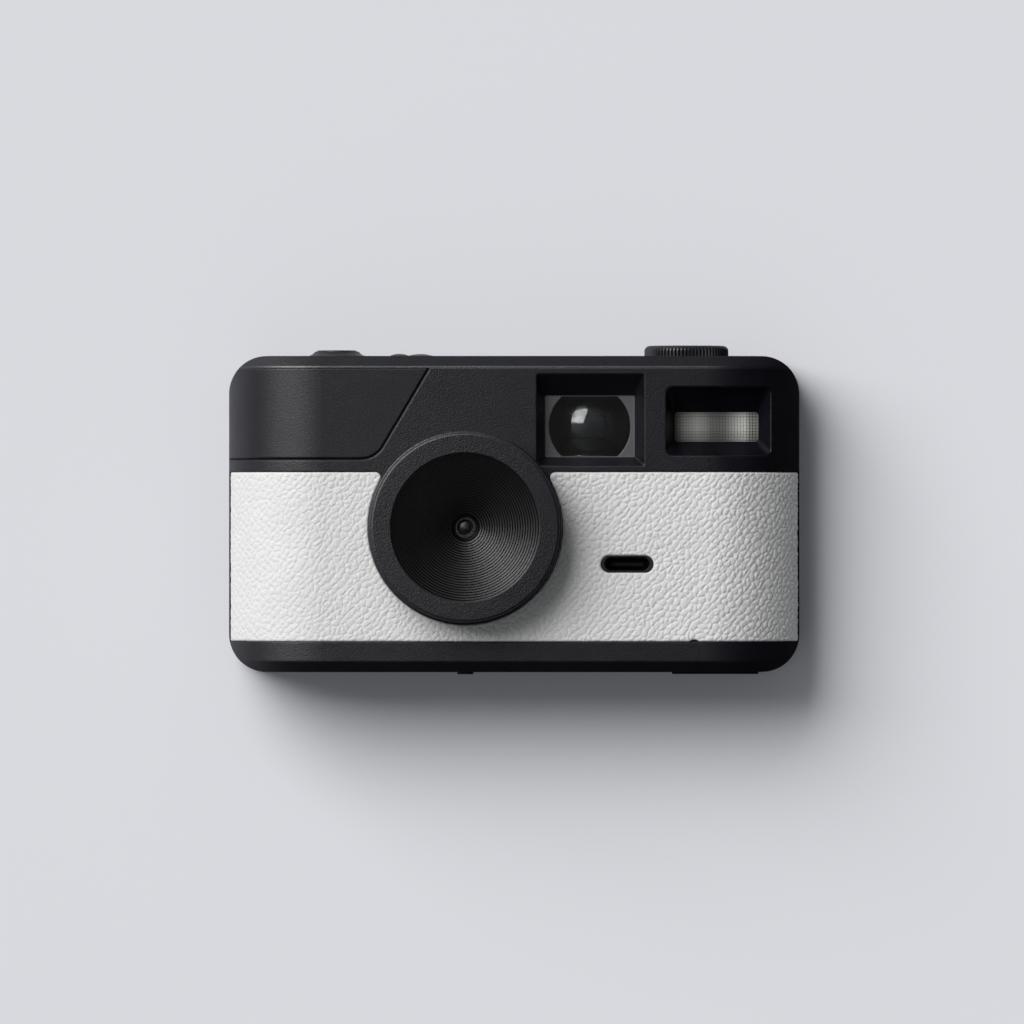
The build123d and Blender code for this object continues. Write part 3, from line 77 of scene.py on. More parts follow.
class Nodes:
    """Short ways to add nodes to one tree."""

    def __init__(self, tree):
        self.tree = tree

    def node(self, kind, **values):
        made = self.tree.nodes.new(kind)
        for key, value in values.items():
            setattr(made, key, value)
        return made

    def link(self, start, end):
        self.tree.links.new(start, end)

    def fill(self, socket, value):
        """Gives a socket a number or a colour, or links it to another socket."""
        if isinstance(value, (int, float)):
            socket.default_value = value
        elif isinstance(value, tuple):
            socket.default_value = (*value, 1.0)
        else:
            self.link(value, socket)

    def component(self, vector, name):
        made = self.node("ShaderNodeSeparateXYZ")
        self.link(vector, made.inputs[0])
        return made.outputs[name]

    def ramp(self, value, *stops):
        made = self.node("ShaderNodeValToRGB")
        band = made.color_ramp
        while len(band.elements) < len(stops):
            band.elements.new(1.0)
        for element, (at, colour) in zip(band.elements, stops):
            element.position = at
            element.color = (*colour, 1.0)
        self.link(value, made.inputs["Fac"])
        return made.outputs["Color"]

    def spread(self, value, low, high, start=0.0, end=1.0):
        """Values from start to end become values from low to high."""
        made = self.node("ShaderNodeMapRange")
        for name, limit in (("From Min", start), ("From Max", end), ("To Min", low), ("To Max", high)):
            made.inputs[name].default_value = limit
        self.link(value, made.inputs["Value"])
        return made.outputs["Result"]

    def math(self, operation, first, second=0.0):
        made = self.node("ShaderNodeMath", operation=operation)
        self.fill(made.inputs[0], first)
        self.fill(made.inputs[1], second)
        return made.outputs["Value"]

    def product(self, first, *others):
        for other in others:
            first = self.math("MULTIPLY", first, other)
        return first

    def reduced(self, share, amount):
        """1 less the share times the amount."""
        return self.math("SUBTRACT", 1.0, self.product(share, amount))

    def mix(self, factor, first, second, kind="RGBA"):
        made = self.node("ShaderNodeMix", data_type=kind)
        low, high, result = MIX_SOCKETS[kind]
        self.link(factor, made.inputs[0])
        self.fill(made.inputs[low], first)
        self.fill(made.inputs[high], second)
        return made.outputs[result]


class Shade(Nodes):
    """Builds one material from nodes."""

    def __init__(self, name):
        self.material = bpy.data.materials.new(name)
        self.material.use_nodes = True
        super().__init__(self.material.node_tree)
        self.bsdf = self.tree.nodes["Principled BSDF"]

    def place(self):
        return self.node("ShaderNodeNewGeometry").outputs["Position"]

    def axis(self, name):
        return self.component(self.place(), name)

    def noise(self, scale, detail=2.0, rough=0.5):
        made = self.node("ShaderNodeTexNoise")
        for name, value in (("Scale", scale), ("Detail", detail), ("Roughness", rough)):
            made.inputs[name].default_value = value
        self.link(self.place(), made.inputs["Vector"])
        return made.outputs["Fac"]

    def within(self, name, low, high):
        """1 between two places along an axis, 0 elsewhere."""
        value = self.axis(name)
        return self.product(self.math("GREATER_THAN", value, low), self.math("LESS_THAN", value, high))

    def inside(self, x_range, y_range, z_range):
        """1 inside a box, 0 elsewhere."""
        return self.product(self.within("X", *x_range), self.within("Y", *y_range),
                            self.within("Z", *z_range))

    def bump(self, height, distance, rounding=0.0):
        """Relief, over edges that look rounded where a rounding radius is given."""
        made = self.node("ShaderNodeBump")
        made.inputs["Distance"].default_value = distance
        made.inputs["Strength"].default_value = 1.0
        if rounding:
            edge = self.node("ShaderNodeBevel", samples=BEVEL_SAMPLES)
            edge.inputs["Radius"].default_value = rounding
            self.link(edge.outputs["Normal"], made.inputs["Normal"])
        self.link(height, made.inputs["Height"])
        self.link(made.outputs["Normal"], self.bsdf.inputs["Normal"])

    def set(self, name, value):
        self.fill(self.bsdf.inputs[name], value)


def grey(value, blue=1.0):
    """A linear grey from an 8-bit display value, slightly blue where asked."""
    linear = (value / DISPLAY_TOP) ** DISPLAY_GAMMA
    return (linear, linear, linear * blue)


def greys(table, blue=1.0):
    """Stops of a ramp from places and 8-bit display values."""
    return [(at, grey(value, blue)) for at, value in table]


CLOUD_EDGES = (0.3, 0.7)


def cloudy(shade, dark, light, scale):
    """Faint clouds between two colours."""
    clouds = shade.noise(scale, detail=4.0, rough=0.6)
    return shade.ramp(clouds, (CLOUD_EDGES[0], dark), (CLOUD_EDGES[1], light))


# The sheen of the body, panel and ring is painted light: it fades from the left end to the right end, a
# painted highlight on the left and painted shade on the right.
# It is higher on the crease along the top of the front as a painted highlight, and lower on the walls of the
# flash recess as painted shade.
SHEEN_HALF = 0.06
CREASE_Z = front_high[2] - 2.4 * MM
CREASE_HALF = 0.3 * MM
CREASE_PAINTED_HIGHLIGHT = 1.1
RECESS_X = (flash_low[0] - 2.5 * MM, flash_high[0] + 2.3 * MM)
RECESS_Y = (front_y + 0.6 * MM, flash_high[1] + 2.0 * MM)
RECESS_Z = (flash_low[2] - 2.8 * MM, flash_high[2] + 5.2 * MM)
RECESS_PAINTED_SHADE = 0.65

CLOUD_SCALE = 160.0
GRAIN_SCALE = 3800.0
WEAR_SCALE = 420.0
WEAR_ROUGHNESS = 0.04
PATCH = 0.15              # how far the clouds stray from a plastic's grey


def painted_light_sheen(shade, left, right):
    """Painted light in the sheen: between its values at the left and right ends of the body, raised on the
    crease as a painted highlight and lowered in the flash recess as painted shade.
    """
    level = shade.spread(shade.axis("X"), left, right, -SHEEN_HALF, SHEEN_HALF)
    crease = shade.within("Z", CREASE_Z - CREASE_HALF, CREASE_Z + CREASE_HALF)
    crease_highlight = shade.math("ADD", shade.product(crease, CREASE_PAINTED_HIGHLIGHT), 1.0)
    recess = shade.inside(RECESS_X, RECESS_Y, RECESS_Z)
    return shade.product(level, crease_highlight, shade.reduced(recess, RECESS_PAINTED_SHADE))


def moulded(name, dark, light, scale, rough, grain, rounding=0.0, sheen=None):
    """Plastic with a fine grain and faint clouds between two colours.

    The grain and the rounding of its edges are in millimetres."""
    shade = Shade(name)
    # A given sheen is painted light: it fades between its values at the two ends, is raised on the crease as
    # a painted highlight and is lowered in the flash recess as painted shade.
    if sheen:
        shade.set("Specular IOR Level", painted_light_sheen(shade, *sheen))
    shade.set("Base Color", cloudy(shade, dark, light, scale))
    wear = shade.noise(WEAR_SCALE, detail=3.0)
    shade.set("Roughness", shade.spread(wear, rough - WEAR_ROUGHNESS, rough + WEAR_ROUGHNESS))
    shade.bump(shade.noise(GRAIN_SCALE, detail=2.0, rough=0.6), grain * MM, rounding * MM)
    return shade


def plastic(name, value, blue, rough, grain, **finish):
    """Grey or black plastic, from the 8-bit display value of its grey and how much bluer it is."""
    dark, light = grey(value * (1 - PATCH), blue), grey(value * (1 + PATCH), blue)
    return moulded(name, dark, light, CLOUD_SCALE, rough, grain, **finish)


METAL_DARK = 0.85
METAL_SCALE = 300.0
POLISH_SCALE = 900.0
POLISH_SPREAD = 0.2


def metal(name, colour, rough):
    shade = Shade(name)
    shade.set("Metallic", 1.0)
    dark = tuple(part * METAL_DARK for part in colour)
    shade.set("Base Color", cloudy(shade, dark, colour, METAL_SCALE))
    polish = shade.noise(POLISH_SCALE, detail=3.0)
    shade.set("Roughness", shade.spread(polish, rough * (1 - POLISH_SPREAD), rough * (1 + POLISH_SPREAD)))
    return shade


GLASS_DARK = 0.98
GLASS_SCALE = 40.0
GLASS_INDEX = 1.5


def glass(name, tint, rough=0.0, sheen=0.5):
    """Clear glass or plastic; the tint varies a little so that it isn't quite even."""
    shade = Shade(name)
    for socket, value in (("Roughness", rough), ("IOR", GLASS_INDEX), ("Specular IOR Level", sheen),
                          ("Transmission Weight", 1.0)):
        shade.set(socket, value)
    dark = tuple(part * GLASS_DARK for part in tint)
    shade.set("Base Color", cloudy(shade, dark, tint, GLASS_SCALE))
    return shade


def assign(names, shade):
    for name in names.split():
        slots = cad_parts[name].data.materials
        slots.clear()
        slots.append(shade.material)


# The body's plastic is paler on the plate round the viewfinder lens, at the floor of its recess
PLATE_BEHIND_LENS = 0.35 * MM
PLATE_HALF = 0.12 * MM
PLATE_X = (5.5 * MM, 25.4 * MM)
PLATE_Z = (base_z + 43 * MM, base_z + 57.5 * MM)
PLATE_COLOUR = grey(78, 1.04)

# Each sheen pair is painted light: its level at the left end, then at the right end.
body = plastic("body plastic", 18, 2.0, 0.42, 0.075, rounding=0.4, sheen=(0.53, 0.27))
plate_y = finder_low[1] - PLATE_BEHIND_LENS
plate = body.inside(PLATE_X, (plate_y - PLATE_HALF, plate_y + PLATE_HALF), PLATE_Z)
black = body.bsdf.inputs["Base Color"].links[0].from_socket
body.set("Base Color", body.mix(plate, black, PLATE_COLOUR))

assign("front_cover rear_cover shutter_collar card_door eyepiece_frame", body)
assign("grip_panel", plastic("panel plastic", 18, 2.0, 0.41, 0.045, rounding=0.3, sheen=(0.56, 0.34)))
assign("lens_ring lens_retainer",
       plastic("ring plastic", 18, 2.0, 0.39, 0.08, rounding=0.14, sheen=(0.75, 0.12)))
assign("baffle_cone", plastic("cone plastic", 13, 1.2, 0.3, 0.003, rounding=0.12, sheen=(0.62, 0.62)))
assign("lens_barrel", plastic("barrel plastic", 60, 1.1, 0.35, 0.004))
assign("shutter_button power_button flash_button mode_dial", plastic("button plastic", 17, 2.0, 0.4, 0.006))
assign("viewfinder_tunnel lens_holder lens_spacer aperture_stop memory_card image_sensor image_processor "
       "shutter_switch power_switch flash_switch dial_encoder", plastic("inner plastic", 10, 1.0, 0.5, 0.006))
assign("usb_trim", plastic("trim plastic", 9, 1.3, 0.45, 0.004))
assign("base_feet", plastic("foot rubber", 14, 1.0, 0.7, 0.01))
assign("main_board sensor_board button_board flash_board usb_board",
       moulded("board mask", (0.006, 0.05, 0.02), (0.012, 0.08, 0.035), 300.0, 0.35, 0.004))
assign("sensor_flex", moulded("amber film", (0.25, 0.09, 0.01), (0.35, 0.14, 0.02), 200.0, 0.3, 0.002))
assign("flash_capacitor",
       moulded("blue sleeve", (0.005, 0.012, 0.06), (0.008, 0.018, 0.09), 200.0, 0.25, 0.002))
assign("status_light", moulded("green lamp", (0.2, 0.4, 0.2), (0.25, 0.5, 0.25), 200.0, 0.3, 0.002))
assign("battery", metal("cell foil", (0.7, 0.71, 0.73), 0.35))
assign("tripod_bush", metal("brass", (0.6, 0.42, 0.16), 0.3))
assign("flash_reflector", metal("reflector film", (0.85, 0.85, 0.85), 0.12))
assign("shutter_spring dial_shaft dial_clip door_latch door_pin board_screws card_socket",
       metal("plated steel", (0.55, 0.55, 0.57), 0.3))
assign("case_screws usb_socket", metal("blackened steel", (0.03, 0.03, 0.033), 0.4))

# The viewfinder's front lens has a second, softer reflection from its coating
CLEAR = (0.93, 0.95, 0.97)
finder_glass = glass("finder glass", CLEAR)
finder_glass.set("Coat Weight", 0.9)
finder_glass.set("Coat Roughness", 0.12)
assign("viewfinder_front_lens", finder_glass)
assign("middle_lens rear_lens infrared_filter", glass("lens glass", CLEAR))
# The eyepiece glass is tinted dark as painted shade, so that the view through the viewfinder stays dark.
assign("viewfinder_rear_lens", glass("eyepiece glass", (0.4, 0.41, 0.42)))
# The front lens is tinted dark as painted shade, which hides the lens parts behind it.
assign("front_lens", glass("darkened lens glass", (0.12, 0.12, 0.13), rough=0.42, sheen=0.3))
assign("flash_tube", glass("tube glass", (0.9, 0.9, 0.92), rough=0.15))

# The ribbed window of the flash: pale plastic with a fine lattice over the shapes of the lamp behind it,
# which are painted light: a painted reflection, darker towards the window's edges.
# The tables give places from 0 to 1 across or up the window, and 8-bit display values.
WINDOW_WARMTH = 0.93
WINDOW_PAINTED_ACROSS = ((0.0, 90), (0.1, 150), (0.26, 165), (0.36, 140), (0.43, 108), (0.52, 98),
                 (0.6, 108), (0.68, 150), (0.78, 190), (0.84, 195), (0.9, 140), (1.0, 115))
WINDOW_PAINTED_UP = ((0.0, 160), (0.15, 200), (0.32, 225), (0.45, 255), (0.75, 255), (1.0, 190))
LATTICE_ACROSS = ((0.0, 200), (0.16, 125), (0.82, 125), (0.9, 255))
WINDOW_DARK = grey(20)
WINDOW_ROUGHNESS = 0.3
RIB_PITCH = 0.62 * MM
LINE_PITCH = 0.6 * MM
LATTICE_LEVELS, LATTICE_WAVES = (0.3, 1.2), (-1.4, 1.2)   # levels of the dots, from the sum of the waves
LINE_LEVELS, LINE_WAVES = (0.9, 1.04), (-1.0, 1.0)
LINE_RELIEF = 0.01 * MM

window = Shade("flash window")
window.set("Roughness", WINDOW_ROUGHNESS)
across, up = window.axis("X"), window.axis("Z")
along = window.spread(across, 0.0, 1.0, flash_low[0], flash_high[0])
rise = window.spread(up, 0.0, 1.0, flash_low[2], flash_high[2])
# The zones across and the rows up are painted light: the lit shapes behind the window as a painted
# reflection, darker towards its edges.
painted_zones = window.ramp(along, *greys(WINDOW_PAINTED_ACROSS, WINDOW_WARMTH))
painted_rows = window.ramp(rise, *greys(WINDOW_PAINTED_UP))
lattice = window.ramp(along, *greys(LATTICE_ACROSS))
ribs = window.math("SINE", window.product(across, 2 * pi / RIB_PITCH))
lines = window.math("SINE", window.product(up, 2 * pi / LINE_PITCH))
dots = window.spread(window.math("ADD", ribs, lines), *LATTICE_LEVELS, *LATTICE_WAVES)
dotted = window.mix(lattice, window.spread(lines, *LINE_LEVELS, *LINE_WAVES), dots)
window.set("Base Color", window.mix(window.product(dotted, painted_rows), WINDOW_DARK, painted_zones))
window.bump(lines, LINE_RELIEF)
assign("flash_window", window)


# The pebbled leatherette, in place of the plain sheet of the CAD model. All its sizes are in millimetres.

FLAT_HALF = 39.5          # half the width of the flat front
END_RADIUS = 20.0         # radius of the curved ends
LEATHER_SIDE = 58.2       # where it ends on each side, seen from the front
LEATHER_LOW = leather_low[2] / MM
LEATHER_HIGH = leather_high[2] / MM
LEATHER_HALF = FLAT_HALF + END_RADIUS * asin((LEATHER_SIDE - FLAT_HALF) / END_RADIUS)
RING_CUT = 19.85          # radius of the cut round the lens ring
TIP_ROUND = 1.6           # radius of the two tips beside the ring
NOTCH_X, NOTCH_Z, NOTCH_RADIUS = 36.8, LEATHER_LOW - 1.2, 1.6
TRIM_FLANGE = 0.6         # part of the charging trim that lies behind the leather
TRIM_GAP = 0.08
GRID_STEP = 0.17
GRID_MARGIN = 2           # steps of the grid that lie outside the outline
GRID_HALF = LEATHER_HALF + GRID_MARGIN * GRID_STEP
OUTLINE_PASSES = 3        # rounds of moving the outer points onto the outline
PROBE = 0.02              # distance over which its slope is measured
SLOPE_FLOOR = 0.3

PEBBLE_WIDTH = 1.2
PEBBLE_STRETCH = 1.22
PEBBLE_ANGLE = radians(48)
PEBBLE_ROWS, PEBBLE_COLUMNS = 97, 89
PEBBLE_SPOT = (0.17, 0.83)   # where a pebble's middle may lie in its cell
PLACE_SEED, RISE_SEED = 21, 22
GRID_SHIFT = 500          # keeps the numbers of the cells above zero
NEIGHBOURS = (-2, -1, 0, 1, 2)
FAR = 9.0                 # further than any pebble's middle, in cells
BEND_WIDE, BEND_WIDE_SIZE = 0.3, 2.6
BEND_FINE, BEND_FINE_SIZE = 0.2, 0.9
GROOVE_DEPTH = 0.12
GROOVE_WIDTH = 0.15
GROOVE_POWER = 1.3
DOME_HEIGHT = 0.15
DOME_LEVEL = 0.35
PEBBLE_LIFT = 0.02
FINE_RELIEF, FINE_SIZE = 0.024, 0.4
WIDE_RELIEF, WIDE_SIZE = 0.03, 5.0
RIGHT_GAIN = 0.3          # the grain stands higher towards the right end

GRAIN_MARGIN = 0.5        # the grain fades out over this width at the outline
SHEET_LIFT = 0.06
EDGE_DROP, EDGE_WIDTH = 0.26, 0.42
EDGE_WAVE, EDGE_WAVE_SIZE, EDGE_WAVE_WIDTH = 0.05, 1.6, 0.8
SKIRT_DEPTH = -0.5

WAVE_TABLE = 64
WAVE_SHIFT = 1000         # keeps the places in the table above zero


def smooth(value, start, end):
    t = np.clip((value - start) / (end - start), 0, 1)
    return t * t * (3 - 2 * t)


def wave_noise(x, y, size, seed):
    """Smooth value noise between -1 and 1."""
    table = np.random.default_rng(seed).uniform(-1, 1, (WAVE_TABLE, WAVE_TABLE))
    x, y = x / size + WAVE_SHIFT, y / size + WAVE_SHIFT
    i, j = np.floor(x).astype(int), np.floor(y).astype(int)
    u, v = smooth(x - i, 0, 1), smooth(y - j, 0, 1)

    def corner(a, b):
        return table[(i + a) % WAVE_TABLE, (j + b) % WAVE_TABLE]

    low = corner(0, 0) * (1 - u) + corner(1, 0) * u
    high = corner(0, 1) * (1 - u) + corner(1, 1) * u
    return low * (1 - v) + high * v


def leather_edge(u, z):
    """Signed distance to the edge of the leather, negative inside, on the unrolled sheet."""
    top = z - LEATHER_HIGH
    ring = RING_CUT - np.hypot(u - lens_x / MM, z - lens_z / MM)
    tip = np.hypot(np.maximum(top + TIP_ROUND, 0), np.maximum(ring + TIP_ROUND, 0)) - TIP_ROUND
    at_tip = (top > -TIP_ROUND) & (ring > -TIP_ROUND)
    upper = np.where(at_tip, tip, np.maximum(top, ring))
    usb_x, usb_z = (usb_low[0] + usb_high[0]) / 2 / MM, (usb_low[2] + usb_high[2]) / 2 / MM
    usb_r = (usb_high[2] - usb_low[2]) / 2 / MM - TRIM_FLANGE
    straight = (usb_high[0] - usb_low[0]) / 2 / MM - TRIM_FLANGE - usb_r
    socket = usb_r + TRIM_GAP - np.hypot(np.maximum(np.abs(u - usb_x) - straight, 0), z - usb_z)
    notch = NOTCH_RADIUS - np.hypot(u - NOTCH_X, z - NOTCH_Z)
    return np.maximum.reduce([upper, LEATHER_LOW - z, np.abs(u) - LEATHER_HALF, socket, notch])


def bent(place, u, z, wide_seed, fine_seed):
    """Moves places along one axis a little, so that the grid of the pebbles doesn't show."""
    place = place + BEND_WIDE * wave_noise(u, z, BEND_WIDE_SIZE, wide_seed)
    return place + BEND_FINE * wave_noise(u, z, BEND_FINE_SIZE, fine_seed)


def pebbles(u, z):
    """Height of the grain: rounded pebbles between narrow grooves."""
    a, b = bent(u, u, z, 11, 12), bent(z, u, z, 13, 14)
    along = (a * cos(PEBBLE_ANGLE) + b * sin(PEBBLE_ANGLE)) / (PEBBLE_WIDTH * PEBBLE_STRETCH)
    across = (-a * sin(PEBBLE_ANGLE) + b * cos(PEBBLE_ANGLE)) / PEBBLE_WIDTH
    along, across = along + GRID_SHIFT, across + GRID_SHIFT
    i, j = np.floor(along).astype(int), np.floor(across).astype(int)
    place = np.random.default_rng(PLACE_SEED).uniform(*PEBBLE_SPOT, (PEBBLE_ROWS, PEBBLE_COLUMNS, 2))
    rise = np.random.default_rng(RISE_SEED).uniform(-1, 1, (PEBBLE_ROWS, PEBBLE_COLUMNS))
    near = np.full(u.shape, FAR)
    second = np.full(u.shape, FAR)
    lift = np.zeros(u.shape)
    # The nearest pebble and the one after it, among the cells round each point
    for di in NEIGHBOURS:
        for dj in NEIGHBOURS:
            ci, cj = i + di, j + dj
            cell = (ci % PEBBLE_ROWS, cj % PEBBLE_COLUMNS)
            spot = place[cell]
            gap = np.hypot(ci + spot[..., 0] - along, cj + spot[..., 1] - across)
            closer = gap < near
            second = np.where(closer, near, np.minimum(second, gap))
            lift = np.where(closer, rise[cell], lift)
            near = np.where(closer, gap, near)
    groove = 1 - np.exp(-((second - near) / GROOVE_WIDTH) ** GROOVE_POWER)
    return (GROOVE_DEPTH * (groove - 1) + DOME_HEIGHT * (DOME_LEVEL - near ** 2) * groove
            + PEBBLE_LIFT * lift * groove + FINE_RELIEF * wave_noise(u, z, FINE_SIZE, seed=16)
            + WIDE_RELIEF * wave_noise(u, z, WIDE_SIZE, seed=17))


def on_outline(u, z):
    """Points just outside the outline move onto it, so that it is clean."""
    outside = leather_edge(u, z) >= 0
    for _ in range(OUTLINE_PASSES):
        now = leather_edge(u, z)
        slope_u = (leather_edge(u + PROBE, z) - leather_edge(u - PROBE, z)) / (2 * PROBE)
        slope_z = (leather_edge(u, z + PROBE) - leather_edge(u, z - PROBE)) / (2 * PROBE)
        size = np.maximum(slope_u ** 2 + slope_z ** 2, SLOPE_FLOOR)
        move = np.where(outside, now, 0) / size
        u, z = u - move * slope_u, z - move * slope_z
    return u, z


def sheet_height(u, z):
    """Height of the leather over the body, with edges that roll down to it."""
    depth_in = -leather_edge(u, z)
    grain = pebbles(u, z) * (1.0 + RIGHT_GAIN * u / GRID_HALF) * smooth(depth_in, 0.0, GRAIN_MARGIN)
    height = grain + SHEET_LIFT
    height -= EDGE_DROP * (1 - smooth(depth_in, 0.0, EDGE_WIDTH)) ** 2
    wave = wave_noise(u, z, EDGE_WAVE_SIZE, seed=18)
    height += EDGE_WAVE * wave * (1 - smooth(depth_in, 0.0, EDGE_WAVE_WIDTH))
    return height


def wrapped(u, z, height):
    """Points of the unrolled sheet, wrapped round the front and its curved ends."""
    angle = np.sign(u) * np.clip(np.abs(u) - FLAT_HALF, 0, None) / END_RADIUS
    x = np.clip(u, -FLAT_HALF, FLAT_HALF) + (END_RADIUS + height) * np.sin(angle)
    y = front_y / MM + END_RADIUS - (END_RADIUS + height) * np.cos(angle)
    return np.stack([x, y, z], axis=-1) * MM


def make_leather():
    us = np.arange(-GRID_HALF, GRID_HALF + GRID_STEP, GRID_STEP)
    zs = np.arange(LEATHER_LOW - GRID_MARGIN * GRID_STEP,
                   LEATHER_HIGH + (GRID_MARGIN + 1) * GRID_STEP, GRID_STEP)
    u, z = np.meshgrid(us, zs, indexing="ij")
    inside = leather_edge(u, z) < 0
    keep = inside[:-1, :-1] | inside[1:, :-1] | inside[1:, 1:] | inside[:-1, 1:]
    u, z = on_outline(u, z)
    height = sheet_height(u, z)
    index = np.full(u.shape, -1)
    used = np.zeros(u.shape, bool)
    for da, db in ((0, 0), (1, 0), (1, 1), (0, 1)):
        used[da:da + keep.shape[0], db:db + keep.shape[1]] |= keep
    index[used] = np.arange(used.sum())
    u, z, height = u[used], z[used], height[used]
    quads = np.stack([index[:-1, :-1], index[1:, :-1], index[1:, 1:], index[:-1, 1:]], axis=-1)[keep]

    # A skirt along every free edge closes the leather down to the body
    count = len(u)
    ends = np.concatenate([quads[:, [a, (a + 1) % 4]] for a in range(4)])
    key = np.sort(ends, axis=1)
    _, first, times = np.unique(key[:, 0] * count + key[:, 1], return_index=True, return_counts=True)
    rim = ends[first[times == 1]]
    rim_points = np.unique(rim)
    below = {point: count + number for number, point in enumerate(rim_points)}
    skirt = [(b, a, below[a], below[b]) for a, b in rim]
    deep = np.full(len(rim_points), SKIRT_DEPTH)
    points = np.concatenate([wrapped(u, z, height), wrapped(u[rim_points], z[rim_points], deep)])
    mesh = bpy.data.meshes.new("leather")
    mesh.from_pydata(points.tolist(), [], quads.tolist() + skirt)
    mesh.polygons.foreach_set("use_smooth", [True] * len(mesh.polygons))
    mesh.update()
    made = bpy.data.objects.new("leather", mesh)
    bpy.context.collection.objects.link(made)
    return made


leather = make_leather()
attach(leather, "root")
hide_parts("leather_wrap")

LEATHER_DARK = grey(203, 0.985)
LEATHER_LIGHT = grey(209, 0.985)
LEATHER_CLOUDS = 90.0
LEATHER_WEAR = 500.0
LEATHER_ROUGHNESS = (0.55, 0.7)
LEATHER_GRAIN = 1500.0
LEATHER_RELIEF = 0.16 * MM

leatherette = Shade("leatherette")
leatherette.set("Base Color", cloudy(leatherette, LEATHER_DARK, LEATHER_LIGHT, LEATHER_CLOUDS))
leather_wear = leatherette.noise(LEATHER_WEAR, detail=3.0)
leatherette.set("Roughness", leatherette.spread(leather_wear, *LEATHER_ROUGHNESS))
leatherette.bump(leatherette.noise(LEATHER_GRAIN, detail=3.0, rough=0.6), LEATHER_RELIEF)
leather.data.materials.append(leatherette.material)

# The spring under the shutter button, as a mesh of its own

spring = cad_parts["shutter_spring"].copy()
spring.data = spring.data.copy()
spring.name = "spring"
bpy.context.collection.objects.link(spring)
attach(spring, "root")
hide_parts("shutter_spring")
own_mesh(spring)

# The view is straight at the front, as in the photograph

SHOT_WIDTH = 210.0 * MM
SHOT_CENTRE_X = -0.45 * MM
SHOT_CENTRE_HEIGHT = 32.74 * MM
SHOT_DISTANCE = 3.5
SHOT_PLANE = 12.5 * MM    # how far behind the front the width of the view is right
SENSOR = 36.0
CLIP_START = 0.01

camera_data = bpy.data.cameras.new("camera")
camera_data.sensor_width = SENSOR
camera_data.lens = SENSOR * SHOT_DISTANCE / SHOT_WIDTH
camera_data.clip_start = CLIP_START
camera = bpy.data.objects.new("camera", camera_data)
camera.location = (SHOT_CENTRE_X, front_y - SHOT_DISTANCE + SHOT_PLANE, base_z + SHOT_CENTRE_HEIGHT)
camera.rotation_euler = (pi / 2, 0, 0)
bpy.context.collection.objects.link(camera)
bpy.context.scene.camera = camera

# The pale surface that the camera's rear face lies on. From behind it isn't seen.

BACKDROP_HALF = 0.6
BACKDROP_ROUGHNESS = 0.95
BACKDROP_LEVEL = 0.713
BACKDROP_SLOPE = 0.62     # it is paler towards the right and the bottom, per metre
BACKDROP_MIDDLE = 0.033
BACKDROP_TINT = (("Red", 0.985), ("Green", 0.99), ("Blue", 1.035))
SHADE_AMOUNT = 0.93
SHADE_START, SHADE_END = -0.06, 0.03   # places along the slant to the lower right

backdrop_mesh = bpy.data.meshes.new("backdrop")
backdrop_mesh.from_pydata(
    [(x, rear_y, z) for x, z in ((-BACKDROP_HALF, -BACKDROP_HALF), (BACKDROP_HALF, -BACKDROP_HALF),
                                 (BACKDROP_HALF, BACKDROP_HALF), (-BACKDROP_HALF, BACKDROP_HALF))],
    [], [(0, 1, 2, 3)])
backdrop = bpy.data.objects.new("backdrop", backdrop_mesh)
bpy.context.collection.objects.link(backdrop)
backdrop.visible_shadow = False
surface = Shade("backdrop")
surface.set("Roughness", BACKDROP_ROUGHNESS)
surface.set("Specular IOR Level", 0.0)
over_middle = surface.math("SUBTRACT", surface.axis("Z"), BACKDROP_MIDDLE)
fade = surface.math("ADD", surface.product(surface.axis("X"), BACKDROP_SLOPE),
                    surface.product(over_middle, -BACKDROP_SLOPE))
level = surface.product(surface.math("ADD", fade, 1.0), BACKDROP_LEVEL)
# Reflections see the lower right of the surface as dark, as if in the shade
lower_right = surface.math("SUBTRACT", surface.axis("X"), over_middle)
shaded = surface.spread(lower_right, 0.0, SHADE_AMOUNT, SHADE_START, SHADE_END)
rays = surface.node("ShaderNodeLightPath").outputs
level = surface.product(level, surface.reduced(shaded, rays["Is Glossy Ray"]))
tint = surface.node("ShaderNodeCombineColor")
for channel, share in BACKDROP_TINT:
    surface.link(surface.product(level, share), tint.inputs[channel])
surface.set("Base Color", tint.outputs["Color"])
behind = surface.node("ShaderNodeNewGeometry").outputs["Backfacing"]
either = surface.node("ShaderNodeMixShader")
surface.link(surface.product(rays["Is Camera Ray"], behind), either.inputs[0])
surface.link(surface.bsdf.outputs["BSDF"], either.inputs[1])
surface.link(surface.node("ShaderNodeBsdfTransparent").outputs["BSDF"], either.inputs[2])
surface.link(either.outputs["Shader"], surface.tree.nodes["Material Output"].inputs["Surface"])
backdrop.data.materials.append(surface.material)

# Light: one large soft source, high on the photographer's left, a weaker one behind, and a weak surround.
# The surround is strongest at a slant in front, and on the left. Reflections see it as more uneven than
# everything else does. Each tuple below gives two levels, and the directions where they are reached.

SIDE_SEEN = (1.5, 0.2, -0.6, 0.6)
HEIGHT_SEEN = (0.15, 1.35, -0.5, 0.5)
SIDE_LIT = (1.32, 0.52, -0.5, 0.6)
SURROUND_FORWARD = ((0.0, 0.04), (0.2, 0.14), (0.5, 0.28), (0.9, 0.28), (1.0, 0.14))   # place, strength
SURROUND_COLOUR = (0.95, 0.97, 1.0)
PALE_WORLD = grey(217, 1.03)      # what the camera sees past the surface

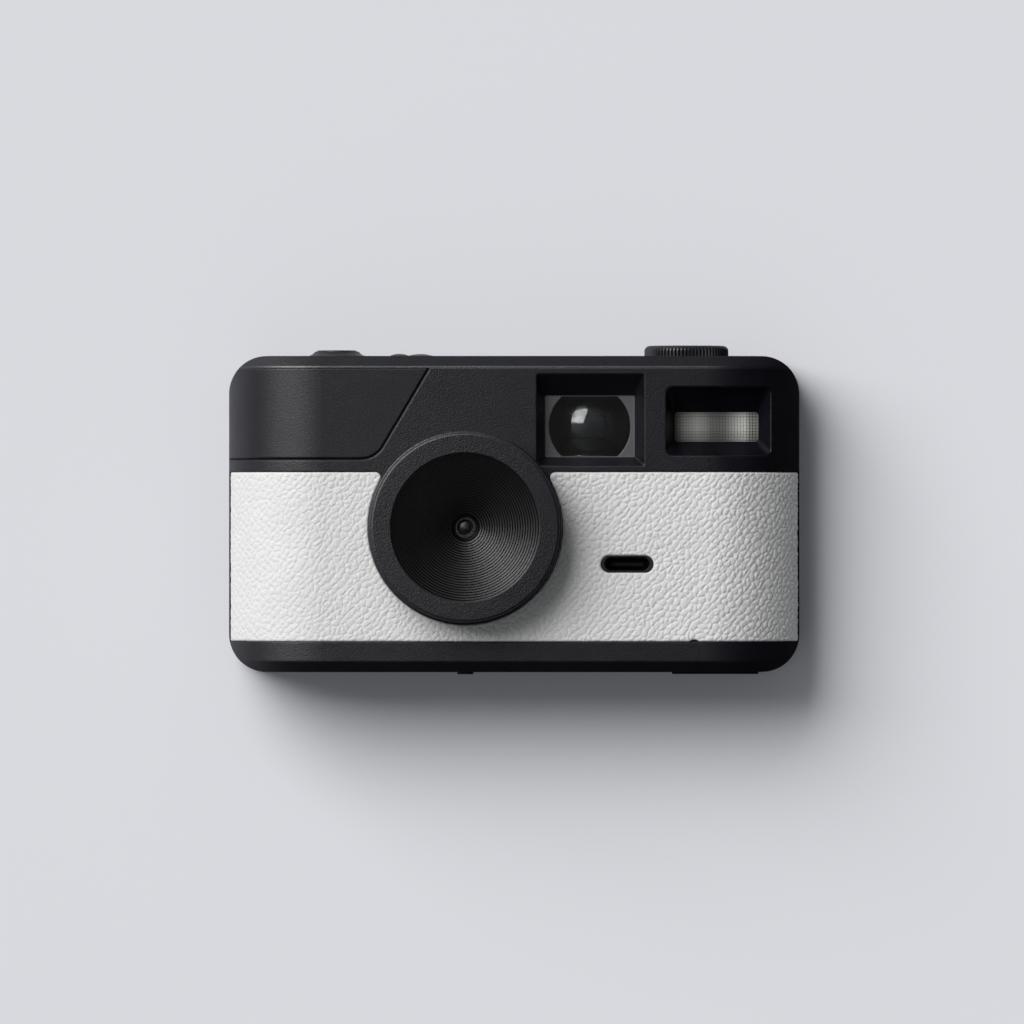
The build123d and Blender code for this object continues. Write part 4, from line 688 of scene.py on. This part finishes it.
world = bpy.data.worlds.new("world")
world.use_nodes = True
bpy.context.scene.world = world
sky = Nodes(world.node_tree)
facing = sky.node("ShaderNodeTexCoord").outputs["Generated"]
rightward, upward = sky.component(facing, "X"), sky.component(facing, "Z")
forward = sky.product(sky.component(facing, "Y"), -1.0)
band = sky.ramp(forward, *[(at, (strength,) * 3) for at, strength in SURROUND_FORWARD])
reflected = sky.product(band, sky.spread(rightward, *SIDE_SEEN), sky.spread(upward, *HEIGHT_SEEN))
lighting = sky.product(band, sky.spread(rightward, *SIDE_LIT))
rays = sky.node("ShaderNodeLightPath").outputs
ambient = sky.tree.nodes["Background"]
sky.fill(ambient.inputs["Color"], SURROUND_COLOUR)
sky.fill(ambient.inputs["Strength"], sky.mix(rays["Is Glossy Ray"], lighting, reflected, "FLOAT"))
pale = sky.node("ShaderNodeBackground")
sky.fill(pale.inputs["Color"], PALE_WORLD)
chosen = sky.node("ShaderNodeMixShader")
sky.link(rays["Is Camera Ray"], chosen.inputs[0])
sky.link(ambient.outputs["Background"], chosen.inputs[1])
sky.link(pale.outputs["Background"], chosen.inputs[2])
sky.link(chosen.outputs["Shader"], sky.tree.nodes["World Output"].inputs["Surface"])

LAMP_DISTANCE = 1.5
KEY_DIRECTION, KEY_WIDTH, KEY_HEIGHT, KEY_WATTS = (-0.808, -1.0, 0.771), 1.36, 1.15, 31.6
REAR_DIRECTION, REAR_WIDTH, REAR_HEIGHT, REAR_WATTS = (0.0, 1.0, 0.15), 0.9, 0.7, 14.0


def softbox(name, direction, width, height, watts):
    """A rectangular lamp that faces the object."""
    data = bpy.data.lights.new(name, "AREA")
    data.shape = "RECTANGLE"
    data.size, data.size_y = width, height
    data.energy = watts
    lamp = bpy.data.objects.new(name, data)
    away = Vector(direction).normalized()
    lamp.location = Vector((0, 0, base_z + SHOT_CENTRE_HEIGHT)) + away * LAMP_DISTANCE
    lamp.rotation_euler = away.to_track_quat("Z", "Y").to_euler()
    bpy.context.collection.objects.link(lamp)


softbox("key light", KEY_DIRECTION, KEY_WIDTH, KEY_HEIGHT, KEY_WATTS)
softbox("rear light", REAR_DIRECTION, REAR_WIDTH, REAR_HEIGHT, REAR_WATTS)

bpy.context.scene.view_settings.view_transform = "Standard"
